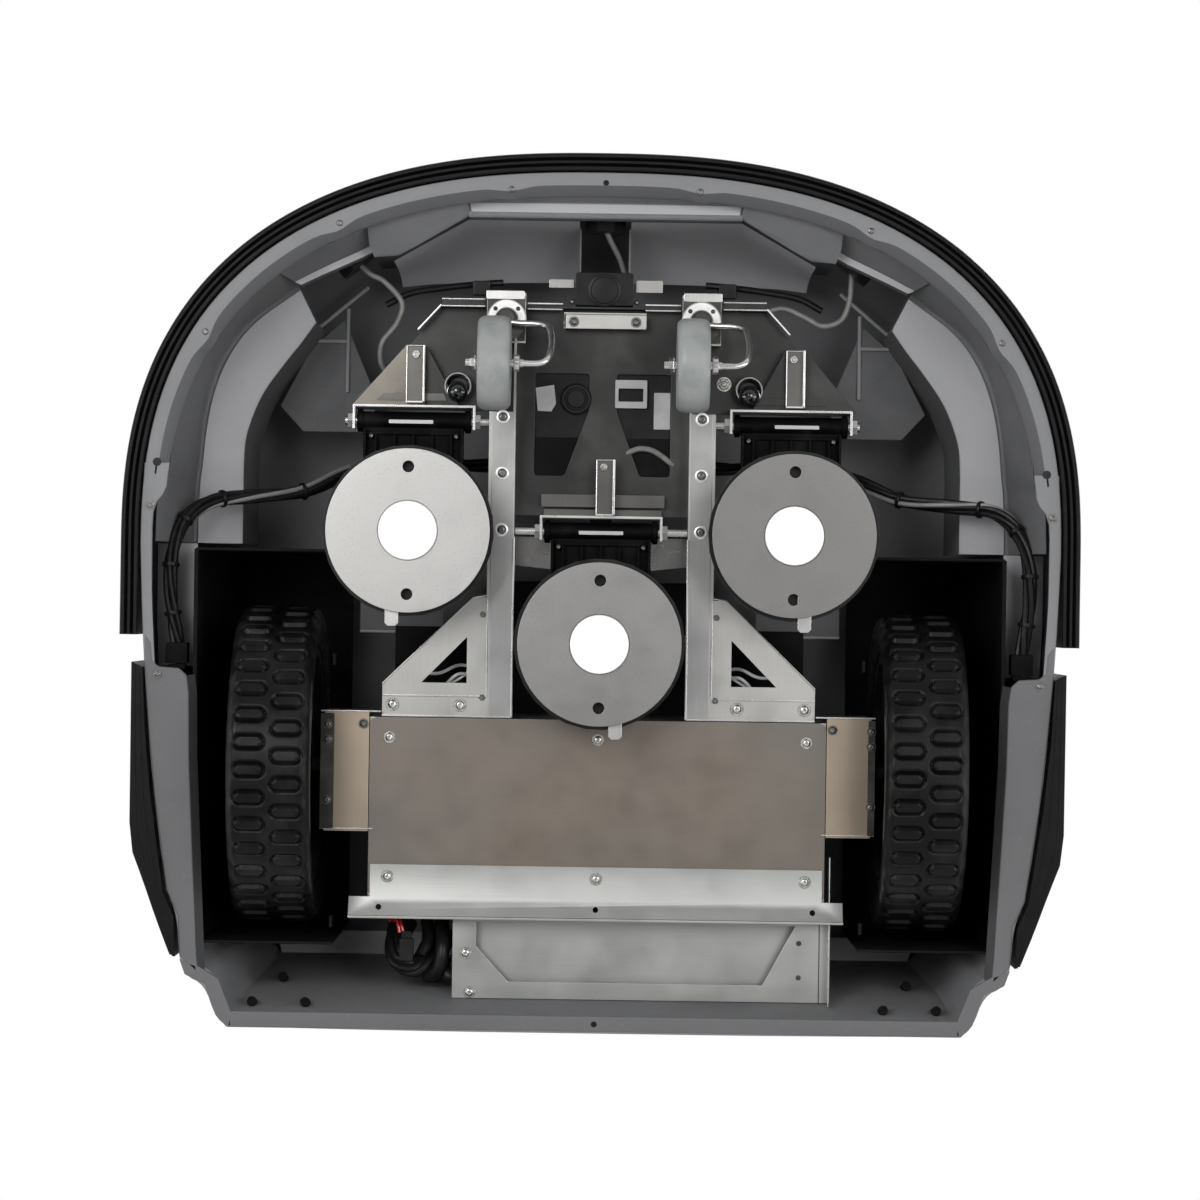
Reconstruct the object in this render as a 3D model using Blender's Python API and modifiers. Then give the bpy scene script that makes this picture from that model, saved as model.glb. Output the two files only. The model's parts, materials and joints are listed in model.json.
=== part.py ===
"""Commercial robotic mower with three floating cutting heads, two drive wheels and two casters.

Metres, +Z up. The ground is Z = 0, the front is -Y, +X is the machine's left-hand side seen from
the front. The origin is on the ground under the centre of the machine's plan.
"""

import math

import bmesh
import bpy
from mathutils import Matrix, Vector

# ---------------------------------------------------------------- driving dimensions
HEAD_PITCH = 0.200  # sideways distance between neighbouring cutting heads
HEAD_STAGGER = 0.115  # how far the centre head sits behind the outer two
OUTER_HEAD_Y = -0.060
ARM_LENGTH = 0.118  # head's spindle to its pivot shaft
PIVOT_Z = 0.150

WHEEL_RADIUS = 0.168
WHEEL_WIDTH = 0.086
HALF_TRACK = 0.3385
WHEEL_Y = 0.188

GEARBOX_RADIUS = 0.0325

CASTER_RADIUS = 0.049
CASTER_WIDTH = 0.036
CASTER_X = 0.103
CASTER_Y = -0.287
CASTER_TRAIL = 0.052
CASTER_OFFSET = -0.010  # wheel's centre plane from the swivel axis
CASTER_ROD_RADIUS = 0.0035
CASTER_FLANGE_Z = 0.1285  # underside of the swivel bearing

RIM_HALF_WIDTH = 0.481
RIM_FRONT_DEPTH = 0.394
WIDEST_Y = -0.0435  # where the hood is widest
REAR_Y = 0.4620
FRONT_Y = -REAR_Y  # the front bumper's foremost line
SUPERELLIPSE_POWER = 2.5  # plan shape of the front
RIM_Z = 0.080
HOOD_WALL = 0.0035
FLANGE_WIDTH = 0.011  # of the rim's inward flange beside the wheel wells' front ends
FRONT_FLANGE_WIDTH = 0.025
SIDE_FLANGE_X = 0.4275  # inner edge of the broad flange beside each drive wheel
BUMPER_THICKNESS = 0.020
BUMPER_Z = (0.074, 0.166)

BEAM_X = (0.092, 0.120)  # inner and outer side of each frame beam
BEAM_Z = (0.135, 0.165)
SHEET = 0.0025
DECK_Z = (0.166, 0.169)
DECK_FRONT_Y = -0.303
DECK_REAR_Y = -0.0800
BOX_X = 0.2415
BOX_Y = (0.136, 0.3265)
BOX_Z = (0.1327, 0.300)
GAP = 0.0004  # left between pieces that touch
FIT = 0.0005  # radial clearance of a faceted shaft in a faceted bore

BLADE_PIN_RADIUS = 0.060
BLADE_REACH = 0.041
BLADE_WIDTH = 0.014
SIDES = {"left": -1, "right": 1}
HEADS = {
    "left": (-HEAD_PITCH, OUTER_HEAD_Y),
    "right": (HEAD_PITCH, OUTER_HEAD_Y),
    "center": (0.0, OUTER_HEAD_Y + HEAD_STAGGER),
}
# Sideways place of the one blade that hangs to the rear of each head, which sets the disc's angle.
REAR_BLADE_X = {"left": -0.0158, "right": 0.0119, "center": 0.0176}

PLASTIC_GREY = (0.135, 0.137, 0.143, 1)
BLACK = (0.012, 0.012, 0.013, 1)
STAINLESS = (0.55, 0.54, 0.52, 1)
RED = (0.55, 0.02, 0.02, 1)
LIGHT_GREY = (0.42, 0.45, 0.46, 1)


# ---------------------------------------------------------------- scene and materials
def clear_scene():
    for obj in list(bpy.data.objects):
        bpy.data.objects.remove(obj, do_unlink=True)


def make_material(name, colour, roughness, metallic=0.0):
    material = bpy.data.materials.new(name)
    material.use_nodes = True
    shader = material.node_tree.nodes["Principled BSDF"]
    shader.inputs["Base Color"].default_value = colour
    shader.inputs["Roughness"].default_value = roughness
    shader.inputs["Metallic"].default_value = metallic
    return material


def make_materials():
    return {
        "hood": make_material("hood_plastic", PLASTIC_GREY, 0.55),
        "black": make_material("black_plastic", BLACK, 0.5),
        "rubber": make_material("black_rubber", BLACK, 0.8),
        "steel": make_material("stainless_sheet", STAINLESS, 0.35, 1.0),
        "aluminium": make_material("aluminium", STAINLESS, 0.4, 1.0),
        "red": make_material("red_plastic", RED, 0.35),
        "caster": make_material("grey_rubber", LIGHT_GREY, 0.6),
    }


# ---------------------------------------------------------------- shape helpers
def mesh_object(bm, name="solid"):
    """A linked object holding the bmesh, with its doubles welded and its faces pointing out."""
    bmesh.ops.remove_doubles(bm, verts=bm.verts, dist=1e-6)
    bmesh.ops.recalc_face_normals(bm, faces=bm.faces)
    mesh = bpy.data.meshes.new(name)
    bm.to_mesh(mesh)
    bm.free()
    obj = bpy.data.objects.new(name, mesh)
    bpy.context.scene.collection.objects.link(obj)
    return obj


def evaluated_bmesh(obj):
    """The object's evaluated mesh in world space. The object is removed."""
    graph = bpy.context.evaluated_depsgraph_get()
    mesh = bpy.data.meshes.new_from_object(obj.evaluated_get(graph))
    bm = bmesh.new()
    bm.from_mesh(mesh)
    bm.transform(obj.matrix_world)
    bpy.data.objects.remove(obj, do_unlink=True)
    bpy.data.meshes.remove(mesh)
    return bm


def box(low, high):
    low, high = Vector(low), Vector(high)
    bm = bmesh.new()
    size = Matrix.Diagonal((*(abs(a - b) for a, b in zip(low, high)), 1))
    bmesh.ops.create_cube(bm, size=1, matrix=Matrix.Translation((low + high) / 2) @ size)
    return mesh_object(bm)


def mirrored_box(side, low, high):
    """A box given for the +X side, on the side asked for."""
    return box((side * low[0], low[1], low[2]), (side * high[0], high[1], high[2]))


def cone(start, end, start_radius, end_radius, segments=24):
    start, end = Vector(start), Vector(end)
    turn = (end - start).to_track_quat("Z", "Y").to_matrix().to_4x4()
    bm = bmesh.new()
    bmesh.ops.create_cone(
        bm,
        cap_ends=True,
        segments=segments,
        radius1=start_radius,
        radius2=end_radius,
        depth=(end - start).length,
        matrix=Matrix.Translation((start + end) / 2) @ turn,
    )
    return mesh_object(bm)


def cylinder(start, end, radius, segments=24):
    return cone(start, end, radius, radius, segments)


def circle(centre_u, centre_v, radius, segments=20):
    turns = [2 * math.pi * i / segments for i in range(segments)]
    return [(centre_u + radius * math.cos(t), centre_v + radius * math.sin(t)) for t in turns]


def rounded(corners, radius, steps=3):
    """A closed outline with each corner replaced by an arc that starts and ends `radius` from it."""
    outline = []
    for i, corner in enumerate(corners):
        corner = Vector(corner)
        before = (Vector(corners[i - 1]) - corner).normalized() * radius
        after = (Vector(corners[(i + 1) % len(corners)]) - corner).normalized() * radius
        for step in range(steps + 1):
            t = step / steps
            point = corner + before * (1 - t) ** 2 + after * t**2
            outline.append((point.x, point.y))
    return outline


def prism(outline, start, end, axis="Z", holes=()):
    """A flat outline extruded along an axis. It is given in (x, y), or (y, z) along X, or (x, z) along Y."""
    curve = bpy.data.curves.new("outline", "CURVE")
    curve.dimensions = "2D"
    curve.fill_mode = "BOTH"
    curve.extrude = (end - start) / 2
    for loop in (outline, *holes):
        spline = curve.splines.new("POLY")
        spline.points.add(len(loop) - 1)
        for point, (u, v) in zip(spline.points, loop):
            point.co = (u, v, 0, 1)
        spline.use_cyclic_u = True
    obj = bpy.data.objects.new("outline", curve)
    bpy.context.scene.collection.objects.link(obj)
    bm = evaluated_bmesh(obj)
    columns = {"Z": (0, 1, 2), "X": (2, 0, 1), "Y": (0, 2, 1)}[axis]
    for vert in bm.verts:
        local = (vert.co.x, vert.co.y, vert.co.z + (start + end) / 2)
        vert.co = [local[c] for c in columns]
    return mesh_object(bm)


def turned(profile, segments=32, axis="Z"):
    """A (radius, height) profile turned about the Z axis, or about X with height along X."""
    closed = all(radius > 1e-6 for radius, _ in profile)
    mesh = bpy.data.meshes.new("profile")
    edges = [(i, i + 1) for i in range(len(profile) - 1)]
    if closed:
        edges.append((len(profile) - 1, 0))
    mesh.from_pydata([(radius, 0, height) for radius, height in profile], edges, [])
    obj = bpy.data.objects.new("profile", mesh)
    bpy.context.scene.collection.objects.link(obj)
    screw = obj.modifiers.new("turn", "SCREW")
    screw.steps = screw.render_steps = segments
    screw.use_merge_vertices = True
    screw.merge_threshold = 1e-5
    bm = evaluated_bmesh(obj)
    if axis == "X":
        bm.transform(Matrix.Rotation(math.radians(90), 4, "Y"))
    return mesh_object(bm)


def smooth_route(points, per_span=4):
    """Points along a Catmull-Rom curve through the route's own points."""
    points = [Vector(p) for p in points]
    padded = [2 * points[0] - points[1], *points, 2 * points[-1] - points[-2]]
    route = []
    for a, b, c, d in zip(padded, padded[1:], padded[2:], padded[3:]):
        for step in range(per_span):
            t = step / per_span
            route.append(
                0.5
                * (
                    2 * b
                    + (c - a) * t
                    + (2 * a - 5 * b + 4 * c - d) * t * t
                    + (3 * b - 3 * c + d - a) * t**3
                )
            )
    return [*route, points[-1]]


def tube(points, radius, resolution=2):
    """A round tube along a list of points, with closed ends."""
    curve = bpy.data.curves.new("route", "CURVE")
    curve.dimensions = "3D"
    curve.bevel_depth = radius
    curve.bevel_resolution = resolution
    curve.use_fill_caps = True
    spline = curve.splines.new("POLY")
    spline.points.add(len(points) - 1)
    for point, place in zip(spline.points, points):
        point.co = (*place, 1)
    obj = bpy.data.objects.new("route", curve)
    bpy.context.scene.collection.objects.link(obj)
    return mesh_object(evaluated_bmesh(obj))


def combined(solids, cuts=()):
    """One mesh object: the first solid joined with the others, less the cuts."""
    base, *others = solids
    for operation, tools in (("UNION", others), ("DIFFERENCE", cuts)):
        for tool in tools:
            modifier = base.modifiers.new(operation, "BOOLEAN")
            modifier.operation = operation
            modifier.solver = "EXACT"
            modifier.object = tool
    bm = evaluated_bmesh(base)
    for tool in (*others, *cuts):
        bpy.data.objects.remove(tool, do_unlink=True)
    return mesh_object(bm)


def finish_part(name, obj, material, origin=(0, 0, 0)):
    """Names the solid as a part, puts its origin on the point given and shades it smooth."""
    origin = Vector(origin)
    obj.data.transform(Matrix.Translation(-origin))
    obj.location = origin
    obj.name = obj.data.name = name
    obj.data.materials.clear()
    obj.data.materials.append(material)
    obj.data.shade_smooth()
    obj.data.set_sharp_from_angle(angle=math.radians(35))
    bpy.context.scene.collection.objects.unlink(obj)
    bpy.data.collections["robotic_mower"].objects.link(obj)
    return obj


def copy_part(name, source, location, turn=0.0):
    """Another object on the same mesh, turned about the vertical through its origin."""
    obj = bpy.data.objects.new(name, source.data)
    obj.location = location
    obj.rotation_euler = (0, 0, turn)
    bpy.data.collections["robotic_mower"].objects.link(obj)
    return obj


# ---------------------------------------------------------------- hood
SIDE_AND_REAR = [  # half of the rim behind its widest line
    (0.4775, 0.050),
    (0.4700, 0.150),
    (0.4630, 0.220),
    (0.4490, 0.318),
    (0.4370, 0.345),
    (0.4345, 0.387),
    (0.4285, 0.407),
    (0.4070, 0.417),
    (0.3960, 0.449),
    (0.3840, 0.4600),
]
# Height of each ring of the hood, with its scale sideways, towards the front and to the rear.
HOOD_RINGS = [
    (0.170, 1.000, 1.000, 1.000),
    (0.186, 0.985, 0.983, 0.992),
    (0.330, 0.950, 0.860, 0.976),
    (0.385, 0.875, 0.720, 0.955),
    (0.414, 0.680, 0.510, 0.890),
    (0.428, 0.450, 0.280, 0.700),
]
HATCH_X = 0.118
HATCH_Y = (0.000, 0.215)
HATCH_TOP_Z = 0.435
BUTTON_Y = 0.300
SONAR_Z = 0.205
SONAR_RADIUS = 0.019


def superellipse(half_width, depth, turns):
    """The front half of the plan, from the -X side round to the +X side."""
    points = []
    for i in range(turns + 1):
        angle = math.pi * i / turns
        reach = [abs(f(angle)) ** (2 / SUPERELLIPSE_POWER) for f in (math.cos, math.sin)]
        side = -1 if i * 2 < turns else 1
        points.append((side * half_width * reach[0], WIDEST_Y - depth * reach[1]))
    return points


def rim_outline(turns=22):
    front = superellipse(RIM_HALF_WIDTH, RIM_FRONT_DEPTH, turns)
    right = list(SIDE_AND_REAR)
    left = [(-x, y) for x, y in reversed(right)]
    return [*front, *right, (0.19, REAR_Y), (0, REAR_Y), (-0.19, REAR_Y), *left]


def ring_points(outline, z, sideways, forward, rearward):
    points = []
    for x, y in outline:
        along = forward if y < WIDEST_Y else rearward
        points.append(Vector((x * sideways, WIDEST_Y + (y - WIDEST_Y) * along, z)))
    return points


def loft(rings):
    """An open surface through rings of equal length, closed by a flat cap on the last one."""
    bm = bmesh.new()
    rows = [[bm.verts.new(p) for p in ring] for ring in rings]
    count = len(rows[0])
    for lower, upper in zip(rows, rows[1:]):
        for i in range(count):
            j = (i + 1) % count
            bm.faces.new((lower[i], lower[j], upper[j], upper[i]))
    bm.faces.new(rows[-1])
    return bm


def hood_surface():
    outline = rim_outline()
    shrink = (
        1 - FLANGE_WIDTH / RIM_HALF_WIDTH,
        1 - FLANGE_WIDTH / RIM_FRONT_DEPTH,
        1 - FLANGE_WIDTH / (REAR_Y - WIDEST_Y),
    )
    rings = [ring_points(outline, RIM_Z, *shrink), ring_points(outline, RIM_Z, 1, 1, 1)]
    rings += [ring_points(outline, *ring) for ring in HOOD_RINGS]
    obj = mesh_object(loft(rings))
    solidify = obj.modifiers.new("wall", "SOLIDIFY")
    solidify.thickness = HOOD_WALL
    solidify.offset = -1
    solidify.use_even_offset = True
    return mesh_object(evaluated_bmesh(obj))


def front_flange():
    """The broader flange round the front, up to where the wiring runs down beside the wells."""
    end_y = -0.104
    inset, width = 0.0015, FRONT_FLANGE_WIDTH
    outer = superellipse(RIM_HALF_WIDTH - inset, RIM_FRONT_DEPTH - inset, 30)
    inner = superellipse(RIM_HALF_WIDTH - width, RIM_FRONT_DEPTH - width, 30)
    outer = [point for point in outer if point[1] < end_y]
    inner = [point for point in inner if point[1] < end_y - 0.016]
    return prism([*outer, *reversed(inner)], RIM_Z + 0.0002, RIM_Z + HOOD_WALL - 0.0002)


def side_flange(side):
    """The broad flange beside a drive wheel."""
    rim = [(x - 0.0015, y) for x, y in SIDE_AND_REAR if 0.1 < y < 0.40]
    corners = [(0.4745, 0.092), *rim, (0.4140, 0.4070), (SIDE_FLANGE_X - 0.010, 0.378)]
    corners += [(SIDE_FLANGE_X, 0.120), (SIDE_FLANGE_X + 0.003, 0.092)]
    return prism([(side * x, y) for x, y in corners], RIM_Z + 0.0002, RIM_Z + HOOD_WALL - 0.0002)


def sonar_places():
    """For each sensor its face centre on the hood and the level direction it looks in."""
    places = {"center": (Vector((0, -0.4300, SONAR_Z)), Vector((0, -1, 0)))}
    for name, side in SIDES.items():
        direction = Vector((side * 0.651, -0.759, 0)).normalized()
        places[name] = (Vector((side * 0.2915, -0.3800, SONAR_Z)), direction)
    return places


def build_hood(materials):
    collar = prism(
        rounded([(-0.135, -0.015), (0.135, -0.015), (0.135, 0.230), (-0.135, 0.230)], 0.02),
        0.4250,
        HATCH_TOP_Z,
    )
    button_base = cone((0, BUTTON_Y, 0.410), (0, BUTTON_Y, 0.432), 0.050, 0.042, 28)
    hatch = box((-HATCH_X, HATCH_Y[0], 0.40), (HATCH_X, HATCH_Y[1], 0.45))
    button_hole = cylinder((0, BUTTON_Y, 0.38), (0, BUTTON_Y, 0.45), 0.0175, 20)
    windows = [
        cylinder(face + look * 0.03, face - look * 0.035, SONAR_RADIUS + 0.002, 20)
        for face, look in sonar_places().values()
    ]
    flanges = [front_flange(), side_flange(-1), side_flange(1)]
    hood = combined([hood_surface(), collar, button_base, *flanges], [hatch, button_hole, *windows])
    finish_part("body_shell", hood, materials["hood"])


def build_bumpers(materials):
    """The front bumper is a ribbed strip round the front, and each side bumper a plain shaped one."""
    gap = 0.0015
    outside = gap + BUMPER_THICKNESS
    outer = superellipse(RIM_HALF_WIDTH + outside, WIDEST_Y - FRONT_Y, 36)
    inner = superellipse(RIM_HALF_WIDTH + gap, RIM_FRONT_DEPTH + gap, 36)
    end_y = 0.052
    outline = [(outer[0][0], end_y), *outer, (outer[-1][0], end_y)]
    outline += [(inner[-1][0], end_y), *reversed(inner), (inner[0][0], end_y)]
    finish_part("front_bumper", prism(outline, *BUMPER_Z), materials["rubber"])
    for name, side in SIDES.items():
        corners = [
            (0.4775, 0.078),
            (0.4880, 0.078),
            (0.4875, 0.270),
            (0.4730, 0.307),
            (0.4580, 0.349),
            (0.4440, 0.386),
            (0.4370, 0.390),
            (0.4395, 0.346),
            (0.4515, 0.319),
            (0.4655, 0.221),
            (0.4730, 0.151),
        ]
        outline = [(side * x, y) for x, y in corners]
        strip = prism(outline, BUMPER_Z[0], BUMPER_Z[1] + 0.02)
        finish_part(f"side_bumper_{name}", strip, materials["rubber"])


def build_wheel_wells(materials):
    """Black arches over the drive wheels, open below and on the inner side."""
    wall = 0.003
    front_y, rear_y = -0.040, 0.374
    low_z, top_z, open_x = 0.092, 0.350, 0.275
    outside = [(0.424, 0.165), (0.4195, 0.188), (0.403, 0.325), (0.385, top_z)]
    section = [(open_x, low_z), (0.424, low_z), *outside, (open_x, top_z)]
    hollow = [(open_x - 0.015, low_z - 0.01), (0.424 - wall, low_z - 0.01)]
    hollow += [(x - wall, z) for x, z in outside[:3]]
    hollow += [(0.385 - wall / 2, top_z - wall), (open_x - 0.015, top_z - wall)]
    for name, side in SIDES.items():
        outer = prism([(side * x, z) for x, z in section], front_y, rear_y, "Y")
        inner = prism([(side * x, z) for x, z in hollow], front_y + wall, rear_y - wall, "Y")
        finish_part(f"wheel_well_{name}", combined([outer], [inner]), materials["black"])


# ---------------------------------------------------------------- chassis
def build_chassis_box(materials):
    """The folded sheet box behind the heads, open below, with its bolted-on bottom plate."""
    outer = box((-BOX_X, BOX_Y[0], BOX_Z[0]), (BOX_X, BOX_Y[1], BOX_Z[1]))
    inner = box(
        (-BOX_X + SHEET, BOX_Y[0] + SHEET, BOX_Z[0] - 0.01),
        (BOX_X - SHEET, BOX_Y[1] - SHEET, BOX_Z[1] - SHEET),
    )
    shaft_line = [(x, WHEEL_Y, WHEEL_RADIUS) for x in (-0.3, 0.3)]
    shafts = cylinder(*shaft_line, GEARBOX_RADIUS + 0.0015, 28)
    loom_hole = cylinder((-0.205, 0.31, 0.215), (-0.205, 0.34, 0.215), 0.012, 16)
    finish_part("chassis_box", combined([outer], [inner, shafts, loom_hole]), materials["steel"])

    x, (front, rear) = BOX_X, BOX_Y
    corners = [(-x, front), (x, front), (x, rear), (-x, rear)]
    plate = prism(rounded(corners, 0.010), BOX_Z[0] - GAP - SHEET, BOX_Z[0] - GAP)
    finish_part("box_bottom_plate", plate, materials["steel"])


def build_tail_flange(materials):
    """The Z-shaped strip along the box's rear edge: a bolted leaf, a slope and a stiffening lip."""
    top = BOX_Z[0] - 2 * GAP - SHEET
    leaf_profile = [
        (0.2915, top),
        (0.3275, top),
        (0.3275, top - SHEET),
        (0.2915, top - SHEET),
    ]
    slope_profile = [
        (0.3255, top),
        (0.3475, top - 0.010),
        (0.3475, top - 0.017),
        (0.3450, top - 0.017),
        (0.3450, top - 0.0125),
        (0.3255, top - SHEET),
    ]
    leaf = prism(leaf_profile, -0.2390, 0.2390, "X")
    slope = prism(slope_profile, -0.2610, 0.2610, "X")
    holes = [cylinder((x, 0.336, 0.10), (x, 0.336, 0.14), 0.003, 12) for x in (-0.229, 0, 0.229)]
    finish_part("tail_flange", combined([leaf, slope], holes), materials["aluminium"])


def build_rear_tray(materials):
    """The sheet tray behind the box: four walls, a frame round a window and a panel set in above it."""
    low_x, high_x, front, rear = -0.151, 0.249, 0.3490, 0.4330
    floor_z, top_z = 0.1400, 0.2400
    shell = box((low_x, front, floor_z), (high_x, rear, top_z))
    hollow = box(
        (low_x + SHEET, front + SHEET, floor_z + SHEET), (high_x - SHEET, rear - SHEET, top_z + 0.01)
    )
    window = prism(
        [(-0.126, 0.352), (0.212, 0.352), (0.178, 0.415), (-0.092, 0.415), (-0.126, 0.378)],
        floor_z - 0.01,
        floor_z + 0.01,
    )
    walls = combined([shell], [hollow, window])
    panel = box(
        (low_x + 0.001, front + 0.0012, floor_z + 0.016),
        (high_x - 0.001, rear - 0.001, floor_z + 0.016 + SHEET),
    )
    finish_part("rear_tray", combined([walls, panel]), materials["aluminium"])


def build_beams(materials):
    """Each beam is a channel with its caster mount in front and its gusset against the box."""
    rear = BOX_Y[0] - GAP
    inner, outer = BEAM_X
    low, high = BEAM_Z
    for name, side in SIDES.items():
        channel = [
            mirrored_box(side, (inner, -0.189, low), (outer, rear, low + SHEET)),
            mirrored_box(side, (inner, DECK_FRONT_Y + 0.006, low), (inner + SHEET, rear, high)),
            mirrored_box(side, (outer - SHEET, -0.189, low), (outer, rear, high)),
        ]
        mount = [
            mirrored_box(side, (0.0830, -0.315, 0.1375), (0.1240, -0.262, 0.1400)),
            mirrored_box(side, (0.0830, -0.315, 0.1375), (0.1240, -0.3125, 0.1650)),
            mirrored_box(side, (0.1215, -0.297, 0.1375), (0.1240, -0.262, 0.1650)),
            cylinder(
                (side * CASTER_X, CASTER_Y, CASTER_FLANGE_Z),
                (side * CASTER_X, CASTER_Y, 0.1380),
                0.0205,
                28,
            ),
        ]
        triangle = [
            (0.1190, 0.008),
            (0.1340, 0.008),
            (0.2290, 0.101),
            (0.2290, rear),
            (0.1190, rear),
        ]
        window = [(0.1400, 0.050), (0.1400, 0.099), (0.1880, 0.099)]
        gusset = [
            prism(
                [(side * x, y) for x, y in triangle],
                low,
                low + SHEET,
                holes=[[(side * x, y) for x, y in window]],
            ),
            mirrored_box(side, (0.1190, rear - SHEET, low), (0.2290, rear, high)),
        ]
        beam = combined([*channel, *mount, *gusset])
        finish_part(f"frame_beam_{name}", beam, materials["steel"])


def build_deck(materials):
    """The flat plate on the beams, with its folded front edge and two windows."""
    half = [
        (0.172, DECK_FRONT_Y),
        (0.205, -0.262),
        (0.268, -0.198),
        (0.268, -0.1905),
        (0.1195, -0.1905),
        (0.1195, DECK_REAR_Y),
    ]
    outline = [*half, *[(-x, y) for x, y in reversed(half)]]
    window = [(0.0147, -0.232), (0.0724, -0.232), (0.0724, -0.123), (0.0400, -0.123), (0.0147, -0.1935)]
    windows = [
        prism(rounded([(side * x, y) for x, y in window], 0.004), DECK_Z[0] - 0.01, DECK_Z[1] + 0.01)
        for side in (-1, 1)
    ]
    front = DECK_FRONT_Y + 0.0005
    fold = box((-0.1715, front, 0.150), (0.1715, front + SHEET, DECK_Z[0] + 0.001))
    deck = combined([prism(outline, *DECK_Z), fold], windows)
    finish_part("deck_plate", deck, materials["steel"])


def build_drive(materials):
    """For each side the motor with its gearbox, the channel it is bolted in, the wheel and its tyre."""
    centre = Vector((0, WHEEL_Y, WHEEL_RADIUS))
    half = WHEEL_WIDTH / 2
    tyre_profile = [
        (0.1262, -half + 0.004),
        (0.1500, -half),
        (0.1620, -half + 0.004),
        (WHEEL_RADIUS, -half + 0.016),
        (WHEEL_RADIUS, half - 0.016),
        (0.1620, half - 0.004),
        (0.1500, half),
        (0.1262, half - 0.004),
    ]
    tyre = turned(tyre_profile, 36, "X")
    # The hub's stub shaft points along +X, into the gearbox, and the other wheel is turned round.
    rim_profile = [
        (0, 0.064),
        (0.0110, 0.064),
        (0.0110, 0.034),
        (0.0300, 0.034),
        (0.0300, 0.029),
        (0.1120, 0.029),
        (0.1160, 0.038),
        (0.1258, 0.038),
        (0.1258, -0.038),
        (0.1160, -0.038),
        (0.1120, -0.029),
        (0, -0.029),
    ]
    rim = turned(rim_profile, 36, "X")
    left_centre = centre - Vector((HALF_TRACK, 0, 0))
    right_centre = centre + Vector((HALF_TRACK, 0, 0))
    left_tyre = finish_part("drive_tyre_left", tyre, materials["rubber"])
    left_rim = finish_part("drive_wheel_left", rim, materials["black"])
    left_tyre.location = left_rim.location = left_centre
    copy_part("drive_tyre_right", left_tyre, right_centre, math.pi)
    copy_part("drive_wheel_right", left_rim, right_centre, math.pi)
    for name, side in SIDES.items():
        face, step, back = 0.2900, 0.2200, 0.1350
        at = [centre + Vector((side * x, 0, 0)) for x in (back, step - 0.001, step, face, 0.27)]
        body = combined(
            [cylinder(at[0], at[2], 0.0300), cylinder(at[1], at[3], GEARBOX_RADIUS, 28)],
            [cylinder(at[4], centre + Vector((side * 0.30, 0, 0)), 0.0110 + FIT)],
        )
        finish_part(f"drive_motor_{name}", body, materials["black"])
        low_z, high_z, front, rear = 0.1280, 0.2080, 0.1300, 0.2570
        section = [
            (front, high_z),
            (front, low_z),
            (rear, low_z),
            (rear, high_z),
            (rear - SHEET, high_z),
            (rear - SHEET, low_z + SHEET),
            (front + SHEET, low_z + SHEET),
            (front + SHEET, high_z),
        ]
        ends = sorted((side * (BOX_X + GAP), side * 0.2890))
        finish_part(f"motor_mount_{name}", prism(section, *ends, "X"), materials["steel"])


def build_battery_and_control(materials):
    battery = box((-0.120, 0.145, 0.1335), (0.120, 0.318, 0.2500))
    finish_part("battery_pack", battery, materials["black"])
    control = prism(
        rounded([(-0.114, -0.285), (0.114, -0.285), (0.114, -0.095), (-0.114, -0.095)], 0.012),
        DECK_Z[1] + GAP,
        0.255,
    )
    finish_part("control_box", control, materials["black"])
    sensor = prism(
        rounded([(-0.031, -0.339), (0.031, -0.339), (0.031, -0.3035), (-0.031, -0.3035)], 0.004),
        0.148,
        0.200,
    )
    finish_part("loop_sensor", sensor, materials["black"])


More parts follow.
